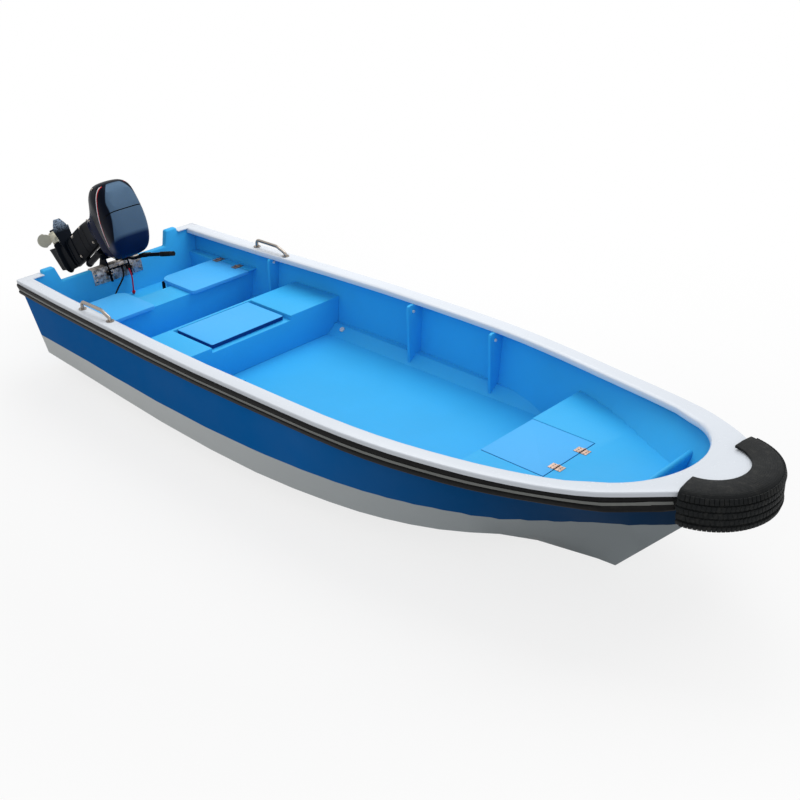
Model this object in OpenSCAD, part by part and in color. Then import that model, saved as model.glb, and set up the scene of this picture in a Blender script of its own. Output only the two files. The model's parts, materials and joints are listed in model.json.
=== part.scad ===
// Open fibreglass panga with a hand-steered outboard, tilted up as it is left at rest.
// Lengths are measured forward from the top of the transom, heights from the keel pad.

/* [Hull] */
// Length from the transom to the stem head
hull_l = 5010; // [4600:5:5600]
// Beam over the gunwales
beam = 1602; // [1450:2:1800]
// Height of the gunwale amidships
depth = 660; // [600:2:740]
// Thickness of the moulded shell
wall = 10; // [7:0.5:14]
// Half-width of the flat keel pad
pad_half = 130; // [80:5:180]
// Half-thickness of the stem
stem_half = 12; // [8:1:20]
// Distance from the stem head back to the forefoot
stem_run = 710; // [600:5:820]
// Rake of the transom in degrees
rake = 10; // [4:1:14]
// Thickness of the transom
transom_t = 50; // [40:1:60]
// Height of the motor notch above the keel
notch_z = 567; // [540:1:590]
// Half-width of the notch at its floor
notch_half = 427; // [380:1:460]
// Distance from the centreline to the outer edge of the posts beside the notch
post_out = 552; // [500:1:580]
// Height of those posts
post_z = 672; // [660:1:700]

/* [Gunwale] */
// Width of the white cap
cap_w = 100; // [80:1:120]
// Thickness of the cap
cap_t = 6; // [4:0.5:10]
// Height of the cap's outer face
cap_face = 24; // [18:1:32]
// Depth of the cap's inner lip
cap_lip = 33; // [24:1:44]
// Round of the cap's inner edge
cap_round = 16; // [8:1:24]
// Height of the rubber rubbing strake
rail_h = 77; // [60:1:90]
// How far the strake's beads stand out
rail_out = 20; // [14:1:28]

/* [Cockpit] */
// Height of the cockpit floor
floor_z = 235; // [200:1:270]
// Half-width of the flat floor
floor_half = 630; // [560:5:660]
// Thickness of the liner's mouldings
liner_t = 8; // [6:0.5:12]
// Height of the motor well's floor
well_z = 340; // [310:1:380]
// Front face of the aft seat
seat_front = 690; // [640:5:760]
// Length of an aft seat lid
seat_lid_l = 380; // [320:5:420]
// Distance from the centreline to an aft seat lid
seat_lid_in = 155; // [140:1:190]
// Distance from the centreline to an aft seat lid's hinge
seat_hinge_y = 640; // [600:1:655]
// Height of the aft seat lids
seat_z = 480; // [450:1:510]
// Height of the bridge between the aft seat boxes
bridge_z = 455; // [430:1:470]
// Aft face of the bridge
bridge_aft = 475; // [440:5:540]
// Aft face of the middle thwart
thwart_aft = 1110; // [1040:5:1160]
// Width of the middle thwart, fore and aft
thwart_w = 420; // [360:5:480]
// Height of the middle thwart
thwart_z = 472; // [440:1:500]
// Half-width of the recess in the middle thwart
recess_half = 320; // [280:5:360]
// Depth of that recess
recess_d = 32; // [24:1:40]
// Distance from the stem head back to the bow platform's edge
platform_back = 1430; // [1300:5:1500]
// Height of the bow platform
platform_z = 490; // [460:1:520]
// Length of the bow hatch lid
hatch_l = 400; // [340:5:440]
// Half-width of the bow hatch lid
hatch_half = 213; // [180:1:240]
// Thickness of the loose lid and of the bow hatch lid
lid_t = 24; // [18:1:30]
// Depth of the folded edge of an aft seat lid
lid_lip = 24; // [16:1:24]
// Gap around a lid that drops into a recess
lid_gap = 4; // [3:0.5:8]
// Thickness of a side knee
knee_t = 19; // [14:1:24]
// Distance from the centreline to a knee's inner edge
knee_in = 646; // [630:1:660]

/* [Fittings] */
// Diameter of a grab handle's tube
grab_d = 22; // [18:1:25]
// Height of a grab handle's bar over the gunwale
grab_h = 50; // [45:1:70]
// Distance between a grab handle's feet
grab_l = 300; // [240:5:360]
// Aft foot of a grab handle
grab_x = 760; // [700:5:820]
// Radius of the bow tyre's tread
tyre_r = 328; // [322:1:340]
// Radius of the bow tyre's beads
bead_r = 180; // [170:1:195]
// Width of the bow tyre
tyre_w = 186; // [176:1:200]
// Thickness of the tyre's tread
tread_t = 15; // [12:1:18]
// Thickness of the tyre's side walls
side_t = 9; // [7:1:12]
// Distance from the stem head back to the tyre's centre
tyre_back = 255; // [235:5:270]
// Diameter of a hinge's pin
pin_d = 5; // [4:0.5:6]
// Length of a hinge
hinge_l = 50; // [40:1:60]
// Thickness of a hinge's leaf
leaf_t = 2; // [1.5:0.5:3]

/* [Outboard] */
// Tilt of the outboard at rest, in degrees
tilt = 53; // [45:1:60]
// Height of the tilt pin over the notch
pivot_up = 63; // [56:1:70]
// Radius of the tilt pin
tilt_pin_r = 11; // [9:0.5:13]
// Radius of the steering pin
king_r = 14; // [12:0.5:16]
// Distance from the tilt pin aft to the steering pin
king_back = 75; // [70:1:85]
// Distance from the tilt pin down to the propeller shaft
shaft_drop = 643; // [600:1:700]
// Propeller radius
prop_r = 130; // [115:1:140]
// Radius of the gearcase
gear_r = 37; // [33:1:42]
// Radius of the propeller shaft
shaft_r = 9; // [8:0.5:11]
// Half-width of the engine cowl
cowl_half = 150; // [135:1:165]
// Wall of the engine cowl
cowl_wall = 4; // [3:0.5:6]
// Length of the tiller
tiller_l = 380; // [350:5:420]
// Radius of the tiller's grip
grip_r = 17; // [15:0.5:20]
// Angle of the tiller to the cowl's foot at rest, in degrees
tiller_up = 68; // [50:1:70]

/* [Cords] */
// Diameter of the fuel hose
hose_d = 12; // [10:0.5:14]
// Diameter of the stop lanyard
lanyard_d = 10; // [8:0.5:12]

/* [Hidden] */
$fn = 48;
seat_gap = 0.3;
cap_seat = 0.7;
rail_drop = cap_face + seat_gap;
drawn_l = 5010;
drawn_beam = 1602;
drawn_depth = 660;
midship = hull_l / 2;
nose_run = 510;
nose_x = hull_l - nose_run;
foot_x = hull_l - stem_run;
platform_x = hull_l - platform_back;
tyre_x = hull_l - tyre_back;
pivot_x = 40;
pivot_z = notch_z + pivot_up;

// Sheer line as drawn: place along the hull, half-breadth, height
SHEER = [[0, 726, 650], [500, 749, 646], [1000, 768, 648], [1500, 789, 654],
    [2000, 801, 660], [2500, 798, 665], [3000, 787, 667], [3400, 748, 668],
    [3800, 678, 677], [4100, 612, 693], [4350, 539, 714], [4500, 476, 731],
    [4755, 322, 764], [5010, 0, 775]];
// Chine as drawn: place along the hull, half-breadth, height
CHINE = [[0, 634, 122], [500, 658, 113], [1000, 692, 113], [1500, 725, 115],
    [2000, 746, 122], [2500, 743, 131], [3000, 700, 148], [3300, 645, 161],
    [3600, 550, 178], [3850, 415, 194], [4050, 257, 200], [4220, 129, 201],
    [4350, 62, 203], [4480, 14, 210]];
// Paint line as drawn: place along the hull, height
PAINT = [[0, 250], [1000, 255], [1900, 270], [2600, 290], [3150, 310], [3600, 338],
    [4100, 350], [4320, 372], [4670, 403]];

function sx(x) = x * hull_l / drawn_l;
function sy(y) = y * beam / drawn_beam;
function sz(z) = z * depth / drawn_depth;
function row(t, x, i = 0) = i >= len(t) - 2 || x < sx(t[i + 1][0]) ? i : row(t, x, i + 1);
function rise(t, i, k) =
    let(a = max(i - 1, 0), b = min(i + 1, len(t) - 1))
    (t[b][k] - t[a][k]) / sx(t[b][0] - t[a][0]);
function blend(t, i, k, u, h) =
    t[i][k] * (2 * u * u * u - 3 * u * u + 1) + t[i + 1][k] * (3 * u * u - 2 * u * u * u)
    + h * rise(t, i, k) * (u * u * u - 2 * u * u + u)
    + h * rise(t, i + 1, k) * (u * u * u - u * u);
// Fair curve through column k of a table, level aft of the first row
function fair(t, x, k) =
    let(i = row(t, x), h = sx(t[i + 1][0] - t[i][0]))
    blend(t, i, k, min(max((x - sx(t[i][0])) / h, 0), 1), h);

function sheer_z(x) = sz(fair(SHEER, x, 2));
function nose_half(x) = sy(476) * pow(max(1 - (x - nose_x) / nose_run, 0), 0.58);
function sheer_y(x) = x < nose_x ? sy(fair(SHEER, x, 1)) : nose_half(x);
function keel_z(x) = max(x - foot_x, 0) * sheer_z(hull_l) / stem_run;
function keel_y(x) =
    min(max(stem_half, pad_half * min(1, (foot_x - x) / sx(600))), sheer_y(x) / 2 + 1);
// Half-widths in the sections above are for the beam as drawn, and follow it
floor_y = sy(floor_half);
seat_in = sy(seat_lid_in);
hinge_y = sy(seat_hinge_y);
recess_y = sy(recess_half);
hatch_y = sy(hatch_half);
knee_y = sy(knee_in);
notch_y = sy(notch_half);
post_y = sy(post_out);
function paint_z(x) = sz(fair(PAINT, x, 1));
function slope_at(x) = atan((sheer_y(x + 5) - sheer_y(x - 5)) / 10);
// The shell stands inside the cap's outer face
function shell_y(x) = max(sheer_y(x) - (cap_t + 3.5) / max(cos(slope_at(x)), 0.35), 6);
function along(a, b, z) = a + (b - a) * (z - a[1]) / (b[1] - a[1]);
function chine(x) = x < sx(4480) ? [max(sy(fair(CHINE, x, 1)), keel_y(x) + 1),
    max(sz(fair(CHINE, x, 2)), keel_z(x) + 1)]
    : let(k = [keel_y(x), keel_z(x)], s = [shell_y(x), sheer_z(x)]) k + (s - k) * 0.08;
// Corner of three points, moved inwards by d
function corner(a, b, c, d) =
    let(u = (b - a) / norm(b - a), v = (c - b) / norm(c - b), t = u[0] * v[1] - u[1] * v[0],
        k = d * (1 - u * v) / (abs(t) < 0.001 ? 1 : t))
    b + d * [-u[1], u[0]] - (abs(t) < 0.001 ? 0 : k) * u;
// Half a section: keel, chine, gunwale
function half_section(x, d, top) =
    let(k = [keel_y(x), keel_z(x)], c = chine(x), s = [shell_y(x), sheer_z(x)],
        ki = corner([0, k[1]], k, c, d), ci = corner(k, c, s, d),
        low = [max(ci[0], 2), max(ci[1], ki[1] + 0.5)], high = s + ci - c)
    [[max(ki[0], 1), ki[1]], low, along(low, high, max(rail_low(x), low[1] + 0.5)),
        along(low, high, max(sheer_z(x) - rail_drop, low[1] + 1)),
        along(low, high, sheer_z(x) + top)];
function rail_low(x) = sheer_z(x) - rail_drop - rail_h;
function section(x, d, top) =
    let(h = half_section(x, d, top))
    [[x, -1, h[0][1]], for (p = h) [x, p[0], p[1]], [x, -1, h[4][1]]];
// Faces of a skin over n rings of m points, with the end faces given; alt turns the diagonals
function skin_faces(n, m, alt, ends) = concat(ends,
    [for (i = [0:n - 2], j = [0:m - 1], f = [0, 1]) let(a = i * m + j, b = i * m + (j + 1) % m)
        f == 0 ? (alt ? [a, a + m, b] : [a, b + m, b])
            : (alt ? [b, a + m, b + m] : [a, a + m, b + m])],
    [for (e = ends) [for (k = [len(e) - 1:-1:0]) (n - 1) * m + e[k]]]);
module skin(rings, alt = false, ends = undef) {
    m = len(rings[0]);
    polyhedron([for (r = rings, p = r) p],
        skin_faces(len(rings), m, alt, is_undef(ends) ? [[for (j = [0:m - 1]) j]] : ends));
}
STATIONS = [-60, 0, 500, 1000, 1500, 2000, 2400, 2700, 2950, 3150, 3300, 3450, 3600, 3740,
    3870, 3990, 4100, 4200, 4300, 4400, 4480, 4540, 4600, 4660, 4720, 4780, 4830, 4880, 4920,
    4950, 4975, 4996];
module hull_solid(d, top, last)
    both_sides()
        skin([for (x = STATIONS) if (x <= last) section(sx(x), d, top)]);
module both_sides() {
    children();
    mirror([0, 1, 0])
        children();
}
hollow_end = 4940;
module inside() hull_solid(wall + seat_gap, 80, hollow_end);

// Place of the transom's outer face at a height
function stern_x(z) = (sz(650) - z) * tan(rake);
// Slab that follows the transom's rake, from one depth inside its face to another
module raked(from, to, low, high, half) {
    rotate([90, 0, 0])
        linear_extrude(2 * half, center = true)
            polygon([[stern_x(low) + from, low], [stern_x(low) + to, low],
                [stern_x(high) + to, high], [stern_x(high) + from, high]]);
}
module shell() {
    difference() {
        hull_solid(0, -cap_t - cap_seat, drawn_l);
        hull_solid(wall, 80, hollow_end);
        raked(-400, 0, -10, 900, beam);
    }
}
module below_paint(gap) {
    rotate([90, 0, 0])
        linear_extrude(2 * beam, center = true)
            polygon(concat([[sx(-100), -20], [sx(4690), -20], [sx(4690), paint_z(sx(4690)) - gap]],
                [for (i = [23:-1:0]) let(x = sx(i * 200)) [x, paint_z(x) - gap]],
                [[sx(-100), paint_z(0) - gap]]));
}
module hull_bottom() {
    color("#d9dde0")
        intersection() {
            shell();
            below_paint(0);
        }
}
module topside() {
    difference() {
        shell();
        below_paint(0);
        translate([-100, -beam, -10])
            cube([hull_l + 200, beam, 1200]);
    }
}
module topside_port() { color("#1565b8") topside(); }
module topside_starboard() { color("#1565b8") mirror([0, 1, 0]) topside(); }

module transom() {
    color("#2b8fe0")
        difference() {
            intersection() {
                inside();
                raked(0, transom_t, -10, post_z, beam);
            }
            both_sides()
                block(-100, 200, post_y, beam, sz(650) - cap_t - cap_seat, post_z + 10);
            rotate([90, 0, 90])
                linear_extrude(600, center = true)
                    polygon([[-notch_y, notch_z], [notch_y, notch_z],
                        [notch_y + sy(40), post_z + 20], [-notch_y - sy(40), post_z + 20]]);
        }
}
plate_t = 4;
plate_half = 200;
plate_low = 463;
module transom_plate() {
    color("#b9b4a8") {
        raked(transom_t + seat_gap, transom_t + seat_gap + plate_t, plate_low,
            notch_z + seat_gap + plate_t, plate_half);
        raked(0, transom_t + seat_gap + plate_t, notch_z + seat_gap,
            notch_z + seat_gap + plate_t, plate_half);
    }
}

// Inner edge of the cap: an offset of the sheer line, closed by a round bow
bow_arc_x = hull_l - 704;
bow_arc_r = 385;
cap_side_end = sx(4400);
function cap_in(x) = [x, sheer_y(x) - cap_w / cos(slope_at(x))];
function cap_bow_in(a) =
    let(r = bow_arc_r + 35 * pow(a / 90, 2)) [bow_arc_x + r * cos(a), r * sin(a)];
crown = 0.8;
// Ring of the cap's section between its outer point and its inner point
function cap_ring(o, i) =
    let(w = norm([i[0] - o[0], i[1] - o[1]]), t = [i[0] - o[0], i[1] - o[1]] / w,
        s = [[0, -4], [0, -cap_face], [cap_t, -cap_face], [cap_t, -cap_t], [0.35 * w, crown - cap_t],
            [0.7 * w, crown - cap_t], [w - cap_t, -cap_t], [w - cap_t, -cap_lip], [w, -cap_lip],
            [w, -cap_round], [w - 0.3 * cap_round, -0.4 * cap_round], [w - cap_round, 0],
            [0.7 * w, crown], [0.35 * w, crown], [4, 0]])
    [for (j = [len(s) - 1:-1:0]) let(p = s[j], x = o[0] + t[0] * p[0])
        [x, o[1] + t[1] * p[0], sheer_z(x) + p[1]]];
function cap_side(x) = [[x, sheer_y(x)], cap_in(x)];
function cap_bow(x, y) = [[x, y], cap_bow_in(asin(0.97 * y / sheer_y(cap_side_end)))];
cap_start = transom_t + 10;
CAP_HALF = concat([cap_side(cap_start)],
    [for (x = STATIONS) if (x > 400) x < 4350 ? cap_side(sx(x)) : cap_bow(sx(x), sheer_y(sx(x)))]);
function flip(p) = [p[0], -p[1]];
CAP_PATH = concat(CAP_HALF, [cap_bow(hull_l, 0)],
    [for (i = [len(CAP_HALF) - 1:-1:0]) [flip(CAP_HALF[i][0]), flip(CAP_HALF[i][1])]]);
corner_in = post_y + 1;
CAP_ENDS = [[11, 12, 13, 14], [11, 14, 0], [10, 11, 0, 1], [9, 10, 1, 2], [8, 9, 2, 3],
    [3, 4, 8], [4, 5, 8], [5, 6, 7, 8]];
arm_end = cap_start + 4;
arm_sink = 0.4;
arm_out = sheer_y(arm_end) - 0.3;
module gunwale_cap() {
    color("#f4f5f6") {
        skin([for (c = CAP_PATH) cap_ring(c[0], c[1])], ends = CAP_ENDS);
        // Arms of the cap that run round the corners onto the transom
        both_sides() {
            translate([0, 0, sheer_z(0) - cap_t - arm_sink])
                linear_extrude(cap_t)
                    polygon([[-5, corner_in], [-5, sheer_y(0) - 6], [1, sheer_y(0)],
                        [arm_end, arm_out], [arm_end, corner_in]]);
            translate([0, 0, sheer_z(0) - cap_face + seat_gap])
                linear_extrude(cap_face - seat_gap - arm_sink)
                    polygon([[-5, corner_in], [-5, sheer_y(0) - 6], [1, sheer_y(0)],
                        [arm_end, arm_out], [arm_end, arm_out - cap_t + 0.6],
                        [-1, sheer_y(0) - cap_t], [-1, corner_in]]);
        }
    }
}

// Rubbing strake: beads and a groove, as distance below the cap's face and distance out
RAIL = [[0, 0], [0, 0.7], [0.1, 1], [0.3, 1], [0.38, 0.6], [0.62, 0.6], [0.7, 1], [0.9, 1],
    [1, 0.7], [1, 0]];
INSERT = [[0.41, 0.64], [0.41, 0.82], [0.59, 0.82], [0.59, 0.64]];
rail_seat = 0.5;
function rail_point(x, p) =
    let(z = sheer_z(x) - rail_drop - p[0] * rail_h, out = rail_seat + p[1] * rail_out,
        y = along(chine(x), [shell_y(x), sheer_z(x)], z)[0], a = slope_at(x))
    [x - out * sin(a), y + out * cos(a), z];
rail_end = 4700;
module rail(profile, alt) {
    skin(alt = alt, rings = [for (x = concat([3], [for (x = STATIONS) if (x > 10 && x <= rail_end) x]))
        [for (j = [len(profile) - 1:-1:0]) rail_point(sx(x), profile[j])]]);
}
module rub_rail_port() { color("#15171a") rail(RAIL, true); }
module rub_rail_starboard() { color("#15171a") mirror([0, 1, 0]) rail(RAIL, true); }
module rail_insert_port() { color("#8d9296") rail(INSERT, false); }
module rail_insert_starboard() { color("#8d9296") mirror([0, 1, 0]) rail(INSERT, false); }

chamfer_y = sy(72);
chamfer_z = 55;
module athwart(from, to) {
    translate([from, 0, 0])
        rotate([90, 0, 90])
            linear_extrude(to - from)
                children();
}
well_front = stern_x(floor_z - liner_t) + transom_t + seat_gap;
module cockpit_floor() {
    color("#2f93e6")
        intersection() {
            inside();
            athwart(well_front, hull_l - 720)
                polygon([[-floor_y, floor_z], [-floor_y - chamfer_y, floor_z + chamfer_z],
                    [-beam, floor_z + chamfer_z], [-beam, floor_z + chamfer_z - liner_t],
                    [-floor_y - chamfer_y, floor_z + chamfer_z - liner_t],
                    [-floor_y, floor_z - liner_t], [floor_y, floor_z - liner_t],
                    [floor_y + chamfer_y, floor_z + chamfer_z - liner_t],
                    [beam, floor_z + chamfer_z - liner_t], [beam, floor_z + chamfer_z],
                    [floor_y + chamfer_y, floor_z + chamfer_z], [floor_y, floor_z]]);
        }
}
// Room over the floor's surface, for whatever stands on it
module over_floor() {
    athwart(-200, hull_l)
        polygon([[-beam, floor_z + chamfer_z + seat_gap],
            [-floor_y - chamfer_y + 0.2, floor_z + chamfer_z + seat_gap],
            [-floor_y + 0.2, floor_z + seat_gap], [floor_y - 0.2, floor_z + seat_gap],
            [floor_y + chamfer_y - 0.2, floor_z + chamfer_z + seat_gap],
            [beam, floor_z + chamfer_z + seat_gap], [beam, 2 * depth], [-beam, 2 * depth]]);
}
module fitted() {
    intersection() {
        inside();
        over_floor();
        children();
    }
}

// How far a seat lid hangs over its box in front, and its box stands inside it elsewhere
lid_over = 35;
box_inset = 12;
lid_aft = seat_front + lid_over - seat_lid_l;
box_in = seat_in + box_inset;
shelf_in = hinge_y - 25;
lid_corner = 72;
lid_round = 24;
// Outline of an aft seat lid, taken in by grow, with its hinge side stretched by out
module lid_outline(grow, out = 0) {
    w = hinge_y - seat_in;
    translate([lid_aft, seat_in])
        hull() {
            translate([lid_corner, lid_corner])
                circle(lid_corner - grow);
            translate([seat_lid_l - lid_round, lid_round])
                circle(lid_round - grow);
            translate([grow, w + out - 30])
                square([seat_lid_l - 2 * grow, 30]);
        }
}
module seat_box(inset, z0, z1) {
    translate([0, 0, z0])
        intersection() {
            linear_extrude(z1 - z0)
                lid_outline(inset, 6);
            block(0, seat_front, 0, beam, -1, z1 + 1);
        }
}
rim_z = seat_z - liner_t - seat_gap;
lid_top_t = liner_t;
lid_fold = 5;
module block(x0, x1, y0, y1, z0, z1) translate([x0, y0, z0]) cube([x1 - x0, y1 - y0, z1 - z0]);
module aft_seat() {
    color("#3d9fee")
        fitted()
            difference() {
                union() {
                    block(seat_front - liner_t, seat_front, -beam, beam, 0, bridge_z);
                    block(bridge_aft, seat_front, -box_in - 4, box_in + 4, bridge_z - liner_t, bridge_z);
                    block(bridge_aft, bridge_aft + liner_t, -box_in - 4, box_in + 4, 0, bridge_z);
                    block(0, bridge_aft + liner_t, -beam, beam, well_z - liner_t, well_z);
                    both_sides() {
                        seat_box(box_inset, 0, rim_z);
                        block(seat_front - liner_t, seat_front, box_in, beam, 0, rim_z);
                        block(lid_aft, seat_front + lid_over, hinge_y + 6, beam,
                            seat_z - liner_t, seat_z);
                        block(lid_aft, seat_front, hinge_y + 6, hinge_y + 6 + liner_t,
                            well_z, seat_z);
                        block(0, lid_aft - 5, shelf_in, beam, seat_z - liner_t, seat_z);
                        block(0, lid_aft - 5, shelf_in, shelf_in + liner_t, well_z, seat_z);
                    }
                }
                raked(-400, transom_t + seat_gap, -10, 900, beam);
                both_sides()
                    intersection() {
                        seat_box(box_inset + liner_t, -1, seat_z + 1);
                        block(0, seat_front - liner_t, 0, beam, -10, seat_z + 1);
                    }
                block(bridge_aft + liner_t, seat_front - liner_t, -box_in, box_in, 0,
                    bridge_z - liner_t);
            }
}

thwart_front = thwart_aft + thwart_w;
mid_lid_aft = thwart_aft + 26;
mid_lid_l = thwart_w - 64;
mid_lid_half = recess_y - 29;
module mid_thwart() {
    color("#3d9fee")
        fitted()
            difference() {
                block(thwart_aft, thwart_front, -beam, beam, 0, thwart_z);
                block(thwart_aft + liner_t, thwart_front - liner_t, -beam, -recess_y - liner_t,
                    0, thwart_z - liner_t);
                block(thwart_aft + liner_t, thwart_front - liner_t, recess_y + liner_t, beam,
                    0, thwart_z - liner_t);
                block(thwart_aft + liner_t, thwart_front - liner_t, -recess_y, recess_y, 0,
                    thwart_z - recess_d - liner_t);
                block(thwart_aft + 20, thwart_front + 1, -recess_y, recess_y,
                    thwart_z - recess_d, thwart_z + 1);
                block(mid_lid_aft + 24, mid_lid_aft + mid_lid_l - 24, -mid_lid_half + 24,
                    mid_lid_half - 24, thwart_z - recess_d - liner_t - 1, thwart_z);
            }
}
// Plate with round corners
module slab(l, w, t, r) {
    linear_extrude(t)
        hull()
            for (x = [r, l - r], y = [r, w - r])
                translate([x, y])
                    circle(r, $fn = 32);
}
module mid_lid() {
    color("#4aa9f3")
        translate([mid_lid_aft, -mid_lid_half, thwart_z - recess_d + seat_gap])
            slab(mid_lid_l, 2 * mid_lid_half, recess_d - seat_gap, 12);
}

ledge = 20;
ridge_x = hull_l - 560;
module bow_platform() {
    color("#3d9fee")
        fitted()
            difference() {
                union() {
                    block(platform_x, platform_x + liner_t, -beam, beam, 0, platform_z);
                    block(platform_x, ridge_x + 10, -beam, beam, platform_z - liner_t, platform_z);
                    block(platform_x, platform_x + hatch_l + 3 * ledge, -hatch_y - 2 * ledge,
                        hatch_y + 2 * ledge, platform_z - lid_t - liner_t, platform_z);
                    block(ridge_x, ridge_x + 36, -beam, beam, platform_z - liner_t,
                        platform_z + 72);
                    translate([ridge_x + 18, 0, platform_z + 72])
                        rotate([90, 0, 0])
                            cylinder(h = 2 * beam, r = 18, center = true);
                }
                block(platform_x - 1, platform_x + hatch_l + 5 + lid_gap, -hatch_y - lid_gap,
                    hatch_y + lid_gap, platform_z - lid_t, platform_z + 1);
                block(platform_x + ledge, platform_x + hatch_l - ledge, -hatch_y + ledge,
                    hatch_y - ledge, platform_z - 90, platform_z);
            }
}
hatch_pin_x = platform_x + hatch_l + 5 + lid_gap / 2;
pin_up = pin_d / 2 + 2;
module bow_hatch_lid() {
    color("#4aa9f3")
        translate([platform_x + 5, -hatch_y, platform_z - lid_t + seat_gap])
            slab(hatch_l, 2 * hatch_y, lid_t - seat_gap, 6);
}

// Folded lid of an aft seat box, open below and on its hinge side
module aft_lid() {
    translate([0, 0, seat_z - lid_lip])
        difference() {
            linear_extrude(lid_lip)
                lid_outline(0);
            translate([0, 0, -1])
                linear_extrude(lid_lip + 1 - lid_top_t)
                    lid_outline(lid_fold, 10);
        }
}
module aft_lid_port() { color("#4aa9f3") aft_lid(); }
module aft_lid_starboard() { color("#4aa9f3") mirror([0, 1, 0]) aft_lid(); }

// Butt hinge with its pin along x: the fixed leaf and its two knuckles carry the pin
knuckle_r = pin_d / 2 + 1.5;
module fixed_leaf(w) {
    translate([-hinge_l / 2, knuckle_r + 0.5, -pin_up])
        cube([hinge_l, w, leaf_t]);
    for (s = [-1, 1])
        translate([s * hinge_l / 3, 0, 0]) {
            rotate([0, 90, 0])
                cylinder(h = hinge_l / 3 - 1, r = knuckle_r, center = true);
            translate([-hinge_l / 6 + 1.2, -1.3, -pin_up])
                cube([hinge_l / 3 - 2.4, knuckle_r + 2.3, leaf_t + 1]);
        }
    rotate([0, 90, 0])
        cylinder(h = hinge_l, r = pin_d / 2 - 0.05, center = true);
}
module moving_leaf(w) {
    difference() {
        union() {
            translate([-hinge_l / 2, -knuckle_r - 0.5 - w, -pin_up])
                cube([hinge_l, w, leaf_t]);
            rotate([0, 90, 0])
                cylinder(h = hinge_l / 3 - 2, r = knuckle_r, center = true);
            translate([-hinge_l / 6 + 1.6, -knuckle_r - 1, -pin_up])
                cube([hinge_l / 3 - 3.2, knuckle_r + 2.3, leaf_t + 1]);
        }
        rotate([0, 90, 0])
            cylinder(h = hinge_l, r = pin_d / 2, center = true);
    }
}
seat_pin_y = hinge_y + 3;
seat_pin_z = seat_z + pin_up + seat_gap;
SEAT_HINGES = [seat_front - 300, seat_front - 90];
HATCH_HINGES = [-106, 106];
leaf_w = 34;
module at_hatch_hinge(y) {
    translate([hatch_pin_x, y, platform_z + pin_up + seat_gap])
        rotate([0, 0, -90])
            children();
}
module fixed_leaves() {
    color("#c9c6c0") {
        for (x = SEAT_HINGES)
            both_sides()
                translate([x, seat_pin_y, seat_pin_z])
                    fixed_leaf(leaf_w);
        for (y = HATCH_HINGES)
            at_hatch_hinge(y)
                fixed_leaf(leaf_w);
    }
}
module aft_leaves() {
    for (x = SEAT_HINGES)
        translate([x, seat_pin_y, seat_pin_z])
            moving_leaf(leaf_w);
}
module aft_leaves_port() { color("#c9c6c0") aft_leaves(); }
module aft_leaves_starboard() { color("#c9c6c0") mirror([0, 1, 0]) aft_leaves(); }
module hatch_leaves() {
    color("#c9c6c0")
        for (y = HATCH_HINGES)
            at_hatch_hinge(y)
                moving_leaf(leaf_w);
}

KNEES = [940, 2260, 2920];
module knee(x) {
    top = sheer_z(x) - cap_lip - seat_gap - 1;
    athwart(x - knee_t / 2, x + knee_t / 2)
        polygon([[knee_y, 0], [knee_y, top - 22], [knee_y + 6, top - 6], [knee_y + 20, top],
            [beam, top], [beam, 0]]);
}
module knees() {
    fitted()
        for (x = KNEES)
            knee(x);
}
module knees_port() { color("#2f93e6") knees(); }
module knees_starboard() { color("#2f93e6") mirror([0, 1, 0]) knees(); }

grab_y = sheer_y(grab_x) - cap_w / 2;
grab_foot = 4;
// Aft post, level bar, then a long slope to the forward foot
post_bend = 24;
slope_a = 20;
slope_bend = 80;
foot_bend = 22;
foot_l = 4;
slope_l = (grab_h - slope_bend * (1 - cos(slope_a)) - foot_bend * cos(slope_a) - foot_l)
    / sin(slope_a);
bar_l = grab_l - post_bend - slope_bend * sin(slope_a) - slope_l * cos(slope_a)
    - foot_bend * (1 - sin(slope_a));
function bend(cx, cz, r, from, to, n) =
    [for (i = [0:n]) let(a = from + (to - from) * i / n) [cx + r * cos(a), 0, cz + r * sin(a)]];
GRAB = concat([[0, 0, 0]], bend(post_bend, grab_h - post_bend, post_bend, 180, 90, 5),
    bend(post_bend + bar_l, grab_h - slope_bend, slope_bend, 90, 90 - slope_a, 3),
    bend(grab_l - foot_bend, foot_l, foot_bend, 90 - slope_a, 0, 4), [[grab_l, 0, 0]]);
module grab_handle() {
    translate([grab_x, grab_y, sheer_z(grab_x) + crown + 3.5 * seat_gap])
        rotate([0, -atan((sheer_z(grab_x + grab_l) - sheer_z(grab_x)) / grab_l), 0]) {
            cord(GRAB, grab_d, 12);
            for (x = [0, grab_l])
                translate([x, 0, 0])
                    cylinder(h = grab_foot, r = 25);
        }
}
module grab_handle_port() { color("#c9ccd0") grab_handle(); }
module grab_handle_starboard() { color("#c9ccd0") mirror([0, 1, 0]) grab_handle(); }

// Half a road tyre around the stem head, its upper side wall lying on the deck
tyre_top = sheer_z(hull_l) + side_t + 4 + seat_gap;
groove_w = 9;
module bow_fender() {
    h = tyre_w;
    color("#1b1c1e")
        translate([tyre_x, 0, tyre_top - h])
            rotate([0, 0, -84])
                rotate_extrude(angle = 168)
                    difference() {
                        polygon([[bead_r, 0], [bead_r + 60, -4], [tyre_r - 26, 0], [tyre_r - 8, 12],
                            [tyre_r, 34], [tyre_r, h - 34], [tyre_r - 8, h - 12], [tyre_r - 26, h],
                            [bead_r + 60, h + 4], [bead_r, h], [bead_r, h - side_t - 4],
                            [tyre_r - 30, h - side_t - 1], [tyre_r - tread_t, h - 30],
                            [tyre_r - tread_t, 30], [tyre_r - 30, side_t + 1], [bead_r, side_t + 4]]);
                        for (i = [-1.5:1:1.5])
                            translate([tyre_r - 6, h / 2 + i * 34 - groove_w / 2])
                                square([10, groove_w]);
                    }
}

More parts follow.
